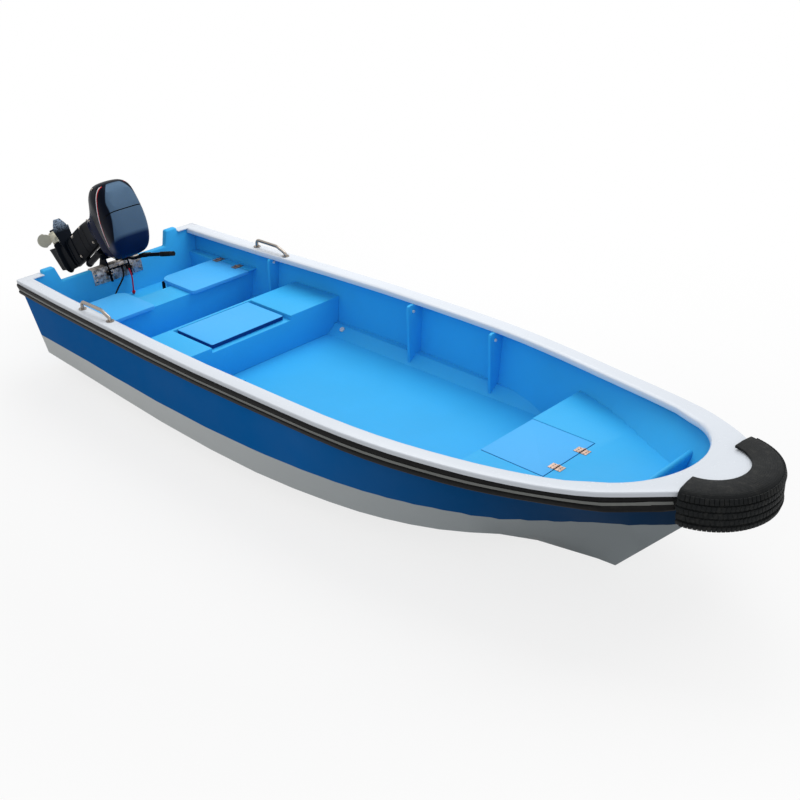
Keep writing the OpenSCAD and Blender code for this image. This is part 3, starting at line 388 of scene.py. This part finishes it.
materials = {
    "hullPaint": paintFinish("hullPaint", linear(0, 100, 176), 0.3, 0.05, 0.0, 0.0, 0.03,
                             paint=hullMasks, shine=0.002),
    "cockpitBlue": paintFinish("cockpitBlue", linear(56, 177, 238), 0.46, 0.04, 0.02, 0.03, 0.12,
                               shine=0.12),
    "lidBlue": paintFinish("lidBlue", linear(75, 179, 245), 0.44, 0.03, 0.02, 0.03, 0.12,
                           shine=0.12),
    # painted shade: a dark blue for the lids' side walls, standing in for the shade in the gaps round them
    "gapShadeBlue": paintFinish("gapShadeBlue", linear(10, 60, 128), 0.6, shine=0.05),
    "capWhite": paintFinish("capWhite", linear(217, 223, 231), 0.26, 0.015, 0.04, 0.0, 0.05),
    "strakeRubber": rubberFinish("strakeRubber", linear(9, 9, 10), 0.48, 0.05),
    "strakeStrip": paintFinish("strakeStrip", linear(116, 118, 116), 0.4, 0.08, 0.2),
    "tyreRubber": rubberFinish("tyreRubber", linear(17, 19, 20), 0.62, 0.16, 300.0, 0.5,
                               (4.755 - midship, 0, 0)),
    "stainless": metalFinish("stainless", linear(158, 150, 142), 0.24),
    "pinkSteel": metalFinish("pinkSteel", linear(168, 144, 130), 0.42, stain=0.7),
    "aluminium": metalFinish("aluminium", linear(206, 198, 190), 0.4, (6.0, 1.0, 1.0), 1.0,
                             linear(44, 38, 36), 0.3, 42.0),
    "motorBlack": paintFinish("motorBlack", linear(12, 17, 24), 0.34, 0.3, 0.0, 0.0, 0.1,
                              shine=0.015),
    "plateBlack": paintFinish("plateBlack", linear(14, 18, 25), 0.34, 0.2, 0.0, 0.0, 0.1,
                              paint=plateWear, shine=0.015),
    "motorBlue": paintFinish("motorBlue", linear(10, 22, 52), 0.24, 0.2, 0.0, 0.0, 0.04,
                             shine=0.01),
    "seamBlack": rubberFinish("seamBlack", linear(4, 4, 5), 0.7, 0.0),
    "cowlGrey": paintFinish("cowlGrey", linear(78, 101, 124), 0.3, 0.05, 0.0, 0.0, 0.02,
                            metal=0.1, paint=cowlMasks, shine=0.02),
    "castEngine": paintFinish("castEngine", linear(96, 100, 104), 0.5, 0.2, 0.2, metal=0.6),
    "propellerPaint": paintFinish("propellerPaint", linear(206, 202, 184), 0.38, 0.15, 0.15),
    "gripRubber": rubberFinish("gripRubber", linear(10, 10, 11), 0.5, 0.05),
    "hoseRubber": rubberFinish("hoseRubber", linear(10, 10, 11), 0.4, 0.05),
    "redCord": paintFinish("redCord", linear(186, 14, 44), 0.35, 0.1, 0.0),
    "whitePlastic": paintFinish("whitePlastic", linear(214, 216, 218), 0.35, 0.03, 0.1),
}
print("materials made:", len(materials))


# Modelling helpers

def deselect():
    if bpy.context.object and bpy.context.object.mode != "OBJECT":
        bpy.ops.object.mode_set(mode="OBJECT")
    bpy.ops.object.select_all(action="DESELECT")


def pick(obj):
    deselect()
    obj.select_set(True)
    bpy.context.view_layer.objects.active = obj


def edit(obj, test=None, kind="FACE"):
    pick(obj)
    bpy.ops.object.mode_set(mode="EDIT")
    bpy.ops.mesh.select_mode(type=kind)
    bpy.ops.mesh.select_all(action="DESELECT" if test else "SELECT")
    if test:
        bpy.ops.object.mode_set(mode="OBJECT")
        for face in obj.data.polygons:
            face.select = bool(test(face))
        bpy.ops.object.mode_set(mode="EDIT")


def done():
    bpy.ops.object.mode_set(mode="OBJECT")


def primitive(kind, name, **settings):
    deselect()
    getattr(bpy.ops.mesh, f"primitive_{kind}_add")(**settings)
    obj = bpy.context.object
    obj.name = name
    bpy.ops.object.transform_apply(location=True, rotation=True, scale=True)
    return obj


def applied(obj, kind, **settings):
    pick(obj)
    modifier = obj.modifiers.new(kind.lower(), kind)
    for key, value in settings.items():
        setattr(modifier, key, value)
    bpy.ops.object.modifier_apply(modifier=modifier.name)


def softEdges(obj, width, segments=3, angle=30):
    applied(obj, "BEVEL", width=width, segments=segments, limit_method="ANGLE",
            angle_limit=math.radians(angle), use_clamp_overlap=True)


def wear(obj, *slots):
    obj.data.materials.clear()
    for material in slots:
        obj.data.materials.append(materials[material])


def smooth(obj, angle=30):
    pick(obj)
    bpy.ops.object.shade_smooth_by_angle(angle=math.radians(angle))


def mergedCopy(node, name, flat=0.3):
    obj = nodes[node].copy()
    obj.data = nodes[node].data.copy()
    obj.name = name
    bpy.context.scene.collection.objects.link(obj)
    pick(obj)
    if obj.data.has_custom_normals:
        bpy.ops.mesh.customdata_custom_splitnormals_clear()
    edit(obj)
    bpy.ops.mesh.remove_doubles(threshold=0.00002)
    if flat:
        bpy.ops.mesh.dissolve_limited(angle_limit=math.radians(flat))
    done()
    return obj


def joined(name, pieces):
    deselect()
    for piece in pieces:
        piece.select_set(True)
    bpy.context.view_layer.objects.active = pieces[0]
    if len(pieces) > 1:
        bpy.ops.object.join()
    pieces[0].name = name
    return pieces[0]


def facing(place, normal, spin=0.0):
    turn = Vector(normal).to_track_quat("Z", "Y").to_matrix().to_4x4()
    return Matrix.Translation(place) @ turn @ Matrix.Rotation(spin, 4, "Z")


def repeated(name, model, places):
    pieces = []
    for place in places:
        piece = model.copy()
        piece.data = model.data.copy()
        piece.data.transform(place)
        bpy.context.scene.collection.objects.link(piece)
        pieces.append(piece)
    return joined(name, pieces)


def remove(obj):
    bpy.data.objects.remove(obj, do_unlink=True)


def finishPiece(obj, body, slot, material, *replaced):
    wear(obj, *([material] if isinstance(material, str) else material))
    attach(obj, body)
    if replaced:
        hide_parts(*replaced)
    return obj


# Raised or sunk bands round a piece, each between two planes across the given axis
def banded(obj, start, axis, bands, depth, test=None, slot=0):
    for low, high in bands:
        for place in (low, high):
            edit(obj)
            bpy.ops.mesh.bisect(plane_co=start + axis * place, plane_no=axis)
        done()

        def inBand(face):
            along = (face.center - start).dot(axis)
            across = abs(face.normal.dot(axis)) < 0.75
            return low < along < high and across and (test is None or test(face))

        edit(obj, inBand)
        bpy.ops.mesh.extrude_region_shrink_fatten(TRANSFORM_OT_shrink_fatten={"value": depth})
        if slot:
            obj.active_material_index = slot
            bpy.ops.object.material_slot_assign()
        done()


# Strain reliefs, grommet and knot of the cords

def collar(name, cord):
    start = Vector(cord["points"][0])
    away = (Vector(cord["points"][2]) - start).normalized()
    obj = primitive("cone", name, vertices=28, radius1=cord["reliefRadius"],
                    radius2=cord["diameter"] / 2 + 0.0012, depth=cord["reliefLength"],
                    end_fill_type="NGON")
    ridges = [(-0.4 * cord["reliefLength"] + i * 0.0042, -0.4 * cord["reliefLength"] + i * 0.0042
               + 0.0018) for i in range(4)]
    banded(obj, Vector((0, 0, 0)), Vector((0, 0, 1)), ridges, -0.0009)
    softEdges(obj, 0.0004, 2)
    obj.data.transform(facing(start + away * cord["reliefLength"] / 2, away))
    smooth(obj, 40)
    return obj


hoseCollar = finishPiece(collar("hose_relief", hose), "hull", "motor_black", "gripRubber")
lanyardCollar = finishPiece(collar("lanyard_relief", lanyard), "hull", "motor_black", "gripRubber")

grommet = primitive("cylinder", "hose_grommet", vertices=32, radius=0.017, depth=0.005,
                    location=(-2.1508, -0.236, 0.347), rotation=(0, math.pi / 2, 0))
edit(grommet, lambda face: face.normal.x < -0.9)
bpy.ops.mesh.inset(thickness=0.004, depth=0.002)
bpy.ops.mesh.inset(thickness=0.0045, depth=0.0)
done()
softEdges(grommet, 0.0012)
smooth(grommet, 40)
finishPiece(grommet, "hull", "gelcoat_blue", "gripRubber")

lanyardEnd = Vector(lanyard["points"][-1])
knot = primitive("torus", "lanyard_knot", major_segments=28, minor_segments=14,
                 major_radius=0.0085, minor_radius=0.0052,
                 location=lanyardEnd + Vector((0, 0, 0.004)), rotation=(1.25, 0.35, 0.2))
wrap = primitive("torus", "knot_wrap", major_segments=28, minor_segments=14,
                 major_radius=0.0075, minor_radius=0.005,
                 location=lanyardEnd + Vector((0.001, 0, 0.007)), rotation=(0.35, 0.2, 0.4))
tail = primitive("uv_sphere", "knot_tail", segments=20, ring_count=12, radius=0.0055,
                 location=lanyardEnd + Vector((0, 0, -0.005)))
edit(tail, lambda face: face.normal.z < -0.5)
bpy.ops.mesh.extrude_region_move(TRANSFORM_OT_translate={"value": (0.002, 0, -0.008)})
done()
knot = joined("lanyard_knot", [knot, wrap, tail])
smooth(knot, 60)
finishPiece(knot, "hull", "red_cord", "redCord")

finishPiece(hoseCurve, "hull", "hose_rubber", "hoseRubber", "fuel_hose")
finishPiece(lanyardCurve, "hull", "red_cord", "redCord", "stop_lanyard")
print("cord ends made")


# CAD nodes that keep their shape and take a finish

carried = {
    "hull_bottom": "hullPaint", "topside_port": "hullPaint", "topside_starboard": "hullPaint",
    "transom": "cockpitBlue", "transom_plate": "aluminium", "gunwale_cap": "capWhite",
    "rub_rail_port": "strakeRubber", "rub_rail_starboard": "strakeRubber",
    "rail_insert_port": "strakeStrip", "rail_insert_starboard": "strakeStrip",
    "cockpit_floor": "cockpitBlue", "aft_seat": "cockpitBlue", "mid_thwart": "cockpitBlue",
    "bow_platform": "cockpitBlue", "knees_port": "cockpitBlue", "knees_starboard": "cockpitBlue",
    "grab_handle_port": "stainless", "grab_handle_starboard": "stainless",
    "bow_fender": "tyreRubber", "floor_drain": "whitePlastic", "fixed_leaves": "pinkSteel",
    "aft_lid_port": "lidBlue", "aft_lid_starboard": "lidBlue", "aft_leaves_port": "pinkSteel",
    "aft_leaves_starboard": "pinkSteel", "mid_lid": "lidBlue", "bow_hatch_lid": "lidBlue",
    "hatch_leaves": "pinkSteel", "clamp_bracket": "motorBlack", "clamp_screws": "stainless",
    "swivel_bracket": "motorBlack", "steering_yoke": "motorBlack", "lower_cowl": "motorBlue",
    "top_cowl": "cowlGrey", "engine_block": "castEngine", "exhaust_housing": "motorBlack",
    "gearcase": "motorBlack", "anti_vent_plate": "plateBlack", "propeller": "propellerPaint",
    "tiller_arm": "motorBlack", "tiller_grip": "gripRubber", "fuel_hose": "hoseRubber",
    "stop_lanyard": "redCord",
}
for node, material in carried.items():
    wear(nodes[node], material)
slotOf = {s["node"]: s["material_slot"] for s in frame["record"]["subparts"]}
bodyOf = {n: b for b, members in frame["record"]["behaviour"]["bodies"].items() for n in members}


def skinOf(node, flat=0.3):
    obj = mergedCopy(node, node + "_skin", flat)
    finishPiece(obj, bodyOf[node], slotOf[node], carried[node], node)
    return obj


# Merged copies with softened edges: bevel width in metres, and the angle over which an edge is soft
softened = {
    "gunwale_cap": (0.003, 40), "transom": (0.012, 30), "cockpit_floor": (0.0, 20),
    "aft_seat": (0.009, 30), "mid_thwart": (0.009, 30), "bow_platform": (0.008, 30),
    "knees_port": (0.007, 30), "knees_starboard": (0.007, 30),
    "aft_lid_port": (0.005, 30), "aft_lid_starboard": (0.005, 30), "mid_lid": (0.007, 30),
    "bow_hatch_lid": (0.003, 30),     "grab_handle_port": (0.0, 40), "grab_handle_starboard": (0.0, 40),
    "clamp_bracket": (0.0025, 30), "swivel_bracket": (0.002, 30), "transom_plate": (0.0012, 30),
    "tiller_arm": (0.0015, 30), "gearcase": (0.0015, 30),
    "steering_yoke": (0.0015, 30), "clamp_screws": (0.0012, 30),
}
for node, (width, angle) in softened.items():
    obj = skinOf(node, 0.05 if width == 0 else 0.3)
    if width:
        softEdges(obj, width)
    smooth(obj, angle)
    if node in ("bow_hatch_lid", "mid_lid"):
        # painted shade: the side walls of these lids take the dark gap blue
        obj.data.materials.append(materials["gapShadeBlue"])
        edit(obj, lambda face: abs(face.normal.z) < 0.3)
        obj.active_material_index = 1
        bpy.ops.object.material_slot_assign()
        done()
print("softened copies:", len(softened))


# Hull skins: the side that faces the cockpit takes the cockpit's colour

def outward(place):
    return Vector((max(place.x - 1.1, 0), place.y, -0.5 * abs(place.y))).normalized()


for node in ("hull_bottom", "topside_port", "topside_starboard"):
    obj = skinOf(node, 0.05)
    obj.data.materials.append(materials["cockpitBlue"])
    edit(obj, lambda face: face.normal.dot(outward(face.center)) < -0.15)
    obj.active_material_index = 1
    bpy.ops.object.material_slot_assign()
    done()
    smooth(obj, 28)
print("hull skins made")


# Rubbing strakes: upright towards the bow, where the topside flares, and run on to the tyre
strake = {
    "flareAt": (0.3, 0.7, 1.095, 1.595, 1.995), "flare": (0.0, 0.2, 0.33, 0.72, 0.88),
    "end": (0.081, 0.0575, 0.007), "back": 0.003,
}


def treeOf(node):
    data = nodes[node].data
    return BVHTree.FromPolygons(
        [v.co for v in data.vertices], [p.vertices for p in data.polygons]
    )


def between(x, places, values):
    for low, high, a, b in zip(places, places[1:], values, values[1:]):
        if x < high:
            return a + (b - a) * max(x - low, 0) / (high - low)
    return values[-1]


for side, name in ((1, "port"), (-1, "starboard")):
    topside = treeOf("topside_" + name)
    rails = [skinOf("rub_rail_" + name, 0.05), skinOf("rail_insert_" + name, 0.05)]
    crest = {}
    for vertex in rails[0].data.vertices:
        x, y, z = vertex.co
        key = round(x, 2)
        crest[key] = max(crest.get(key, (0, 0)), (z, y))
    places = sorted(crest)
    highs = [crest[k][0] for k in places]
    wides = [crest[k][1] for k in places]
    for obj in rails:
        for vertex in obj.data.vertices:
            place = vertex.co.copy()
            near, normal, index, gap = topside.find_nearest(place)
            if gap < strake["back"]:
                continue
            ahead = between(place.x + 0.06, places, wides)
            astern = between(place.x - 0.06, places, wides)
            out = Vector((astern - ahead, 0.12, 0)) if side > 0 else Vector(
                (ahead - astern, -0.12, 0))
            drop = max(between(place.x, places, highs) - place.z, 0)
            lean = between(place.x, strake["flareAt"], strake["flare"])
            vertex.co += out.normalized() * drop * lean
        edit(obj, lambda face: face.normal.x > 0.5 and face.center.x > 2.15)
        ahead, inward, rise = strake["end"]
        bpy.ops.mesh.extrude_region_move(TRANSFORM_OT_translate={
            "value": (ahead, -side * inward, rise),
        })
        done()
        smooth(obj, 40)
print("strakes run on to the tyre")


# Outboard

up = upright.to_3x3()
cowlShape = {
    "levels": 2, "seam": (-0.1610, -0.1560), "seamDepth": -0.0045, "split": (0.1545, 0.1575),
    "splitDepth": -0.002, "rivet": (-0.158, 0.106), "latch": (-0.376, -0.111, 0.334),
}


def uprightPlace(face):
    return upright.inverted() @ face.center


def moulded(node, levels):
    obj = skinOf(node, 0)
    edit(obj)
    bpy.ops.mesh.tris_convert_to_quads(face_threshold=0.7, shape_threshold=1.2)
    bpy.ops.mesh.select_mode(type="EDGE")
    bpy.ops.mesh.select_all(action="DESELECT")
    bpy.ops.mesh.edges_select_sharp(sharpness=math.radians(62))
    bpy.ops.transform.edge_crease(value=1)
    done()
    applied(obj, "SUBSURF", levels=levels, render_levels=levels)
    return obj


topCowl = moulded("top_cowl", cowlShape["levels"])
topCowl.data.materials.append(materials["seamBlack"])
banded(topCowl, upright @ Vector((0, 0, 0)), up @ Vector((1, 0, 0)), [cowlShape["seam"]],
       cowlShape["seamDepth"],
       lambda face: uprightPlace(face).z > 0.345 and (up.inverted() @ face.normal).z > -0.2, 1)
smooth(topCowl, 40)
lowerCowl = moulded("lower_cowl", 1)
smooth(lowerCowl, 40)

leg = moulded("exhaust_housing", 1)
banded(leg, upright @ Vector((0, 0, 0)), up @ Vector((0, 0, 1)),
       [(-0.545, -0.528), (-0.500, -0.486), (-0.462, -0.452), (-0.385, -0.377)], 0.004,
       lambda face: (up.inverted() @ face.normal).x < 0.5)
banded(leg, upright @ Vector((0, 0, 0)), up @ Vector((0, 0, 1)),
       [(-0.235, -0.229), (-0.150, -0.144)], -0.0025,
       lambda face: (up.inverted() @ face.normal).x < 0.5)
smooth(leg, 40)

plate = skinOf("anti_vent_plate")
for reach, share in ((-0.36, 0.78), (-0.44, 0.8)):
    edit(plate)
    bpy.ops.mesh.bisect(plane_co=upright @ Vector((reach, 0, 0)), plane_no=up @ Vector((1, 0, 0)))
    done()
    edit(plate, lambda face: uprightPlace(face).x < reach)
    bpy.ops.transform.resize(value=(1, share, 1), center_override=tiltPin)
    done()
softEdges(plate, 0.002)
smooth(plate)

grip = skinOf("tiller_grip", 0.05)
tillerTurn = Matrix.Rotation(motorTilt - math.radians(68), 3, "Y")
gripAxis = (tillerTurn @ Vector((1, 0, 0))).normalized()
gripStart = upright @ Vector((0.135, 0.060, 0.250)) + gripAxis * 0.230
banded(grip, gripStart, gripAxis, [(0.016 + i * 0.011, 0.021 + i * 0.011) for i in range(10)],
       -0.0018)
smooth(grip, 40)

propellerShape = {
    "hub": 0.030, "hubLength": 0.084, "bore": 0.0093, "radius": 0.127, "chord": 0.056,
    "thick": 0.0042, "pitch": 40, "rake": -8, "blades": (0, 120, 240),
}


def propellerModel():
    p = propellerShape
    hub = primitive("cylinder", "propeller_hub", vertices=40, radius=p["hub"],
                    depth=p["hubLength"])
    edit(hub, lambda face: abs(face.normal.z) > 0.9)
    bpy.ops.mesh.inset(thickness=p["hub"] - p["bore"], depth=0)
    bpy.ops.mesh.bridge_edge_loops()
    done()
    banded(hub, Vector((0, 0, 0)), Vector((0, 0, 1)), [(-0.036, -0.031), (0.026, 0.033)], -0.0015,
           lambda face: face.center.xy.length > p["hub"] * 0.9)
    softEdges(hub, 0.0012, 2)
    half = (p["radius"] - p["hub"] * 0.7) / 2
    blade = primitive("uv_sphere", "blade", segments=32, ring_count=20, radius=1,
                      scale=(half, p["chord"], p["thick"]),
                      location=(p["radius"] - half, 0, 0))
    edit(blade, lambda face: face.center.x > p["radius"] - half)
    bpy.ops.transform.resize(value=(1, 1.16, 0.75), center_override=(p["radius"] - half, 0, 0))
    done()
    blade.data.transform(Matrix.Rotation(math.radians(p["rake"]), 4, "Y")
                         @ Matrix.Rotation(math.radians(p["pitch"]), 4, "X"))
    spins = [Matrix.Rotation(math.radians(a), 4, "Z") for a in p["blades"]]
    blades = repeated("blades", blade, spins)
    remove(blade)
    return joined("propeller_skin", [hub, blades])


propeller = propellerModel()
propeller.data.transform(upright @ Matrix.Translation((-0.372 - 0.042, 0, -0.643))
                         @ Matrix.Rotation(math.radians(-90), 4, "Y"))
smooth(propeller, 45)
finishPiece(propeller, bodyOf["propeller"], slotOf["propeller"], "propellerPaint", "propeller")
print("outboard shells made")


# Screws, bolts and rivets: one head modelled, then copied to its places

def screwHead(name, radius, height, slot=True):
    obj = primitive("cylinder", name, vertices=20, radius=radius, depth=height,
                    location=(0, 0, height / 2))
    edit(obj, lambda face: face.normal.z > 0.9)
    bpy.ops.mesh.inset(thickness=radius * 0.28, depth=height * 0.35)
    if slot:
        bpy.ops.mesh.inset(thickness=radius * 0.22, depth=0)
        bpy.ops.mesh.inset(thickness=radius * 0.04, depth=-height * 0.5)
    done()
    softEdges(obj, radius * 0.06, 2)
    smooth(obj, 35)
    return obj


def boltHead(name, radius, height):
    obj = primitive("cylinder", name, vertices=6, radius=radius, depth=height,
                    location=(0, 0, height / 2))
    washer = primitive("cylinder", "washer", vertices=24, radius=radius * 1.35,
                       depth=height * 0.3, location=(0, 0, height * 0.15))
    edit(obj, lambda face: face.normal.z > 0.9)
    bpy.ops.mesh.inset(thickness=radius * 0.16, depth=height * 0.14)
    done()
    obj = joined(name, [obj, washer])
    softEdges(obj, radius * 0.06, 2)
    smooth(obj, 35)
    return obj


fasteners = {
    "hingeScrew": 0.0036, "footScrew": 0.0032, "kneeBolt": 0.010, "plateBolt": 0.0075, "motorBolt": 0.0055,
}
screw = screwHead("screw", fasteners["hingeScrew"], 0.0018)
feet = screwHead("foot_screw", fasteners["footScrew"], 0.0016)
bolt = boltHead("bolt", fasteners["plateBolt"], 0.006)
smallBolt = boltHead("small_bolt", fasteners["motorBolt"], 0.0045)
knob = screwHead("knob", fasteners["kneeBolt"], 0.006, False)


def fastened(name, model, body, slot, material, places):
    return finishPiece(repeated(name, model, places), body, slot, material)


fixedHinge, portHinge, starHinge, hatchHinge = [], [], [], []
for side, moving in ((1, portHinge), (-1, starHinge)):
    for x in (0.390, 0.600):
        for dx in (-0.018, 0, 0.018):
            pin = Vector((x + dx - midship, side * 0.643, 0.4823))
            fixedHinge.append(facing(pin + Vector((0, side * 0.0225, 0)), (0, 0, 1)))
            moving.append(facing(pin - Vector((0, side * 0.0225, 0)), (0, 0, 1)))
for y in (-0.106, 0.106):
    for dy in (-0.018, 0, 0.018):
        pin = Vector((3.987 - midship, y + dy, 0.4923))
        fixedHinge.append(facing(pin + Vector((0.0225, 0, 0)), (0, 0, 1)))
        hatchHinge.append(facing(pin - Vector((0.0225, 0, 0)), (0, 0, 1)))
fastened("fixed_hinge_screws", screw, "hull", "stainless", "stainless", fixedHinge)
fastened("port_hinge_screws", screw, "aft_lid_port", "stainless", "stainless", portHinge)
fastened("starboard_hinge_screws", screw, "aft_lid_starboard", "stainless", "stainless",
         starHinge)
fastened("hatch_hinge_screws", screw, "bow_hatch", "stainless", "stainless", hatchHinge)
remove(screw)
print("fasteners made")


# Places on the solids, found along a ray

trees = {}


def landing(node, start, way):
    if node not in trees:
        data = nodes[node].data
        trees[node] = BVHTree.FromPolygons(
            [v.co for v in data.vertices], [p.vertices for p in data.polygons]
        )
    place, normal, index, far = trees[node].ray_cast(Vector(start), Vector(way))
    if place is None:
        print("no landing on", node, start)
        return None
    return facing(place, normal)


def landings(node, starts, way):
    found = [landing(node, start, way) for start in starts]
    return [place for place in found if place is not None]


down = (0, 0, -1)
for side, name in ((1, "port"), (-1, "starboard")):
    starts = []
    for x in (0.76, 1.06):
        for k in range(3):
            a = math.radians(90 + 120 * k)
            starts.append((x - midship + 0.019 * math.cos(a),
                           side * 0.7085 + 0.019 * math.sin(a), 0.9))
    fastened("foot_screws_" + name, feet, "hull", "stainless", "stainless",
             landings("grab_handle_" + name, starts, down))
    starts = [(x - midship + 0.1, side * 0.690, 0.585) for x in (0.94, 2.26, 2.92)]
    fastened("knee_bolts_" + name, knob, "hull", "white_plastic", "whitePlastic",
             landings("knees_" + name, starts, (-1, 0, 0)))
remove(feet)
remove(knob)

low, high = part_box("transom_plate")
starts = [(0.35 - midship, y, z) for y in (low.y + 0.022, high.y - 0.022, low.y + 0.1)
          for z in (low.z + 0.025, high.z - 0.035)]
fastened("plate_bolts", bolt, "hull", "stainless", "stainless",
         landings("transom_plate", starts, (-1, 0, 0)))

for side in (-1, 1):
    across = up @ Vector((0, -side, 0))
    name = "port" if side > 0 else "starboard"
    starts = [upright @ Vector((x, side * 0.25, z)) for x, z in (
        (-0.300, -0.060), (-0.140, -0.075), (-0.300, -0.190), (-0.300, -0.335),
        (-0.145, -0.352), (-0.300, -0.352))]
    fastened("leg_bolts_" + name, bolt, "motor", "motor_black", "stainless",
             landings("exhaust_housing", starts, across))
    starts = [upright @ Vector((x, side * 0.25, z)) for x, z in (
        (-0.340, 0.128), (0.060, 0.128), (-0.250, 0.070))]
    fastened("pan_bolts_" + name, bolt, "motor", "stainless", "stainless",
             landings("lower_cowl", starts, across))
    rivet = landings("top_cowl", [upright @ Vector((-0.376, side * 0.25, 0.334))], across)
    fastened("cowl_rivet_" + name, bolt, "motor", "stainless", "stainless", rivet)
remove(bolt)
remove(smallBolt)
print("bolts placed")


# Bow tyre: tread blocks in rows, shoulder lugs and rings on the side walls

tyre = {
    "centre": Vector((4.755 - midship, 0, 0.695)), "radius": 0.328, "arc": 82, "proud": 0.0022,
    "rows": ((0.0, 0.0255, 0.0185, 14), (0.034, 0.0255, 0.0185, -14), (-0.034, 0.0255, 0.0185, 14)),
    "pitch": 3.6, "lug": (0.028, 0.0185), "lugPitch": 3.6, "shoulder": 0.069,
}


def treadBlock(name, tall, long):
    obj = primitive("cube", name, size=1, scale=(tyre["proud"] + 0.004, long, tall))
    edit(obj, lambda face: face.normal.x > 0.9)
    bpy.ops.mesh.inset(thickness=0.0022, depth=0)
    bpy.ops.transform.translate(value=(0.0008, 0, 0))
    done()
    softEdges(obj, 0.0009, 1, 20)
    return obj


def around(angle, height, twist=0.0, tip=0.0):
    turn = Matrix.Rotation(math.radians(angle), 4, "Z")
    out = Matrix.Translation((tyre["radius"] + tyre["proud"] / 2 - 0.002, 0, height))
    tilt = Matrix.Rotation(math.radians(tip), 4, "Y") @ Matrix.Rotation(math.radians(twist), 4, "X")
    return Matrix.Translation(tyre["centre"]) @ turn @ out @ tilt


treads = []
steps = int(tyre["arc"] / tyre["pitch"])
for height, tall, long, twist in tyre["rows"]:
    block = treadBlock("block", tall, long)
    shift = 0.0 if height == 0 else tyre["pitch"] / 2
    places = [around(i * tyre["pitch"] + shift, height, twist) for i in range(-steps, steps)]
    treads.append(repeated("row", block, places))
    remove(block)
block = treadBlock("block", tyre["lug"][0], tyre["lug"][1])
for side in (-1, 1):
    places = [around(i * tyre["lugPitch"], side * tyre["shoulder"], 0, side * -16)
              for i in range(-steps, steps + 1)]
    treads.append(repeated("row", block, places))
remove(block)
tread = joined("tyre_tread", treads)
smooth(tread, 30)
finishPiece(tread, "hull", "tyre_rubber", "tyreRubber")

tyreSkin = skinOf("bow_fender", 0.05)
softEdges(tyreSkin, 0.0015, 2, 40)
smooth(tyreSkin, 40)
print("tyre dressed")


# Small fittings

stop = primitive("cube", "locker_stop", size=1, scale=(0.012, 0.022, 0.070),
                 location=(0.352 - midship, 0.178, 0.415))
edit(stop, lambda face: face.normal.x < -0.9)
bpy.ops.mesh.inset(thickness=0.004, depth=0)
bpy.ops.mesh.inset(thickness=0.001, depth=-0.003)
done()
softEdges(stop, 0.0015)
smooth(stop)
finishPiece(stop, "hull", "black_rubber", "gripRubber")
print("fittings made")


# Floor and light

studio = {
    "floor": 40.0, "fade": (2.2, 4.2), "veil": 0.78, "paper": 0.82, "bounce": 0.42, "world": 0.60,
    "key": 280.0, "fill": 60.0,
}


def seenDirectly(wire):
    paths = [wire.node("ShaderNodeLightPath", output=k)
             for k in ("Is Camera Ray", "Is Glossy Ray", "Is Transmission Ray")]
    return wire.math("MAXIMUM", paths[0], wire.math("MAXIMUM", paths[1], paths[2]))


def buildStudio():
    floor = primitive("plane", "floor", size=studio["floor"], location=(0, 0, -0.0005))
    material = bpy.data.materials.new("floorPaper")
    material.use_nodes = True
    tree = material.node_tree
    wire = Wire(tree)
    shader = tree.nodes["Principled BSDF"]
    shader.inputs["Roughness"].default_value = 0.9
    coords = wire.node("ShaderNodeTexCoord", output="Object")
    away = wire.node("ShaderNodeVectorMath", {"operation": "LENGTH"}, {0: coords}, output="Value")
    low, high = studio["fade"]
    fade = wire.node("ShaderNodeMapRange", inputs={
        0: away, 1: low, 2: high, 3: studio["veil"], 4: 1.0,
    })
    seen = seenDirectly(wire)
    paper = wire.node("ShaderNodeMix", {"data_type": "RGBA"}, {
        0: seen, 6: (studio["bounce"],) * 3 + (1,), 7: (studio["paper"],) * 3 + (1,),
    }, output=2)
    tree.links.new(paper.socket, shader.inputs["Base Color"])
    white = wire.node("ShaderNodeEmission", inputs={"Color": (1, 1, 1, 1), "Strength": 1.0})
    mixed = wire.node("ShaderNodeMixShader", inputs={
        0: fade * seen, 1: Wire(tree, shader.outputs["BSDF"]), 2: white,
    })
    tree.links.new(mixed.socket, tree.nodes["Material Output"].inputs["Surface"])
    floor.data.materials.append(material)

    world = bpy.data.worlds.new("studio")
    bpy.context.scene.world = world
    world.use_nodes = True
    tree = world.node_tree
    strength = studio["world"] + seenDirectly(Wire(tree)) * (1 - studio["world"])
    background = tree.nodes["Background"]
    background.inputs["Color"].default_value = (1, 1, 1, 1)
    tree.links.new(strength.socket, background.inputs["Strength"])

    for name, power, size, place, aim in (
        ("key", studio["key"], 5.0, (-1.5, 3.0, 6.0), (0, 0, 0.4)),
        ("fill", studio["fill"], 4.0, (5.5, -5.0, 4.5), (0, 0, 0.4)),
    ):
        data = bpy.data.lights.new(name, "AREA")
        data.energy = power
        data.size = size
        lamp = bpy.data.objects.new(name, data)
        bpy.context.scene.collection.objects.link(lamp)
        lamp.location = place
        lamp.rotation_euler = (Vector(aim) - Vector(place)).to_track_quat("-Z", "Y").to_euler()
    bpy.context.scene.view_settings.view_transform = "Standard"


buildStudio()
print("studio built")
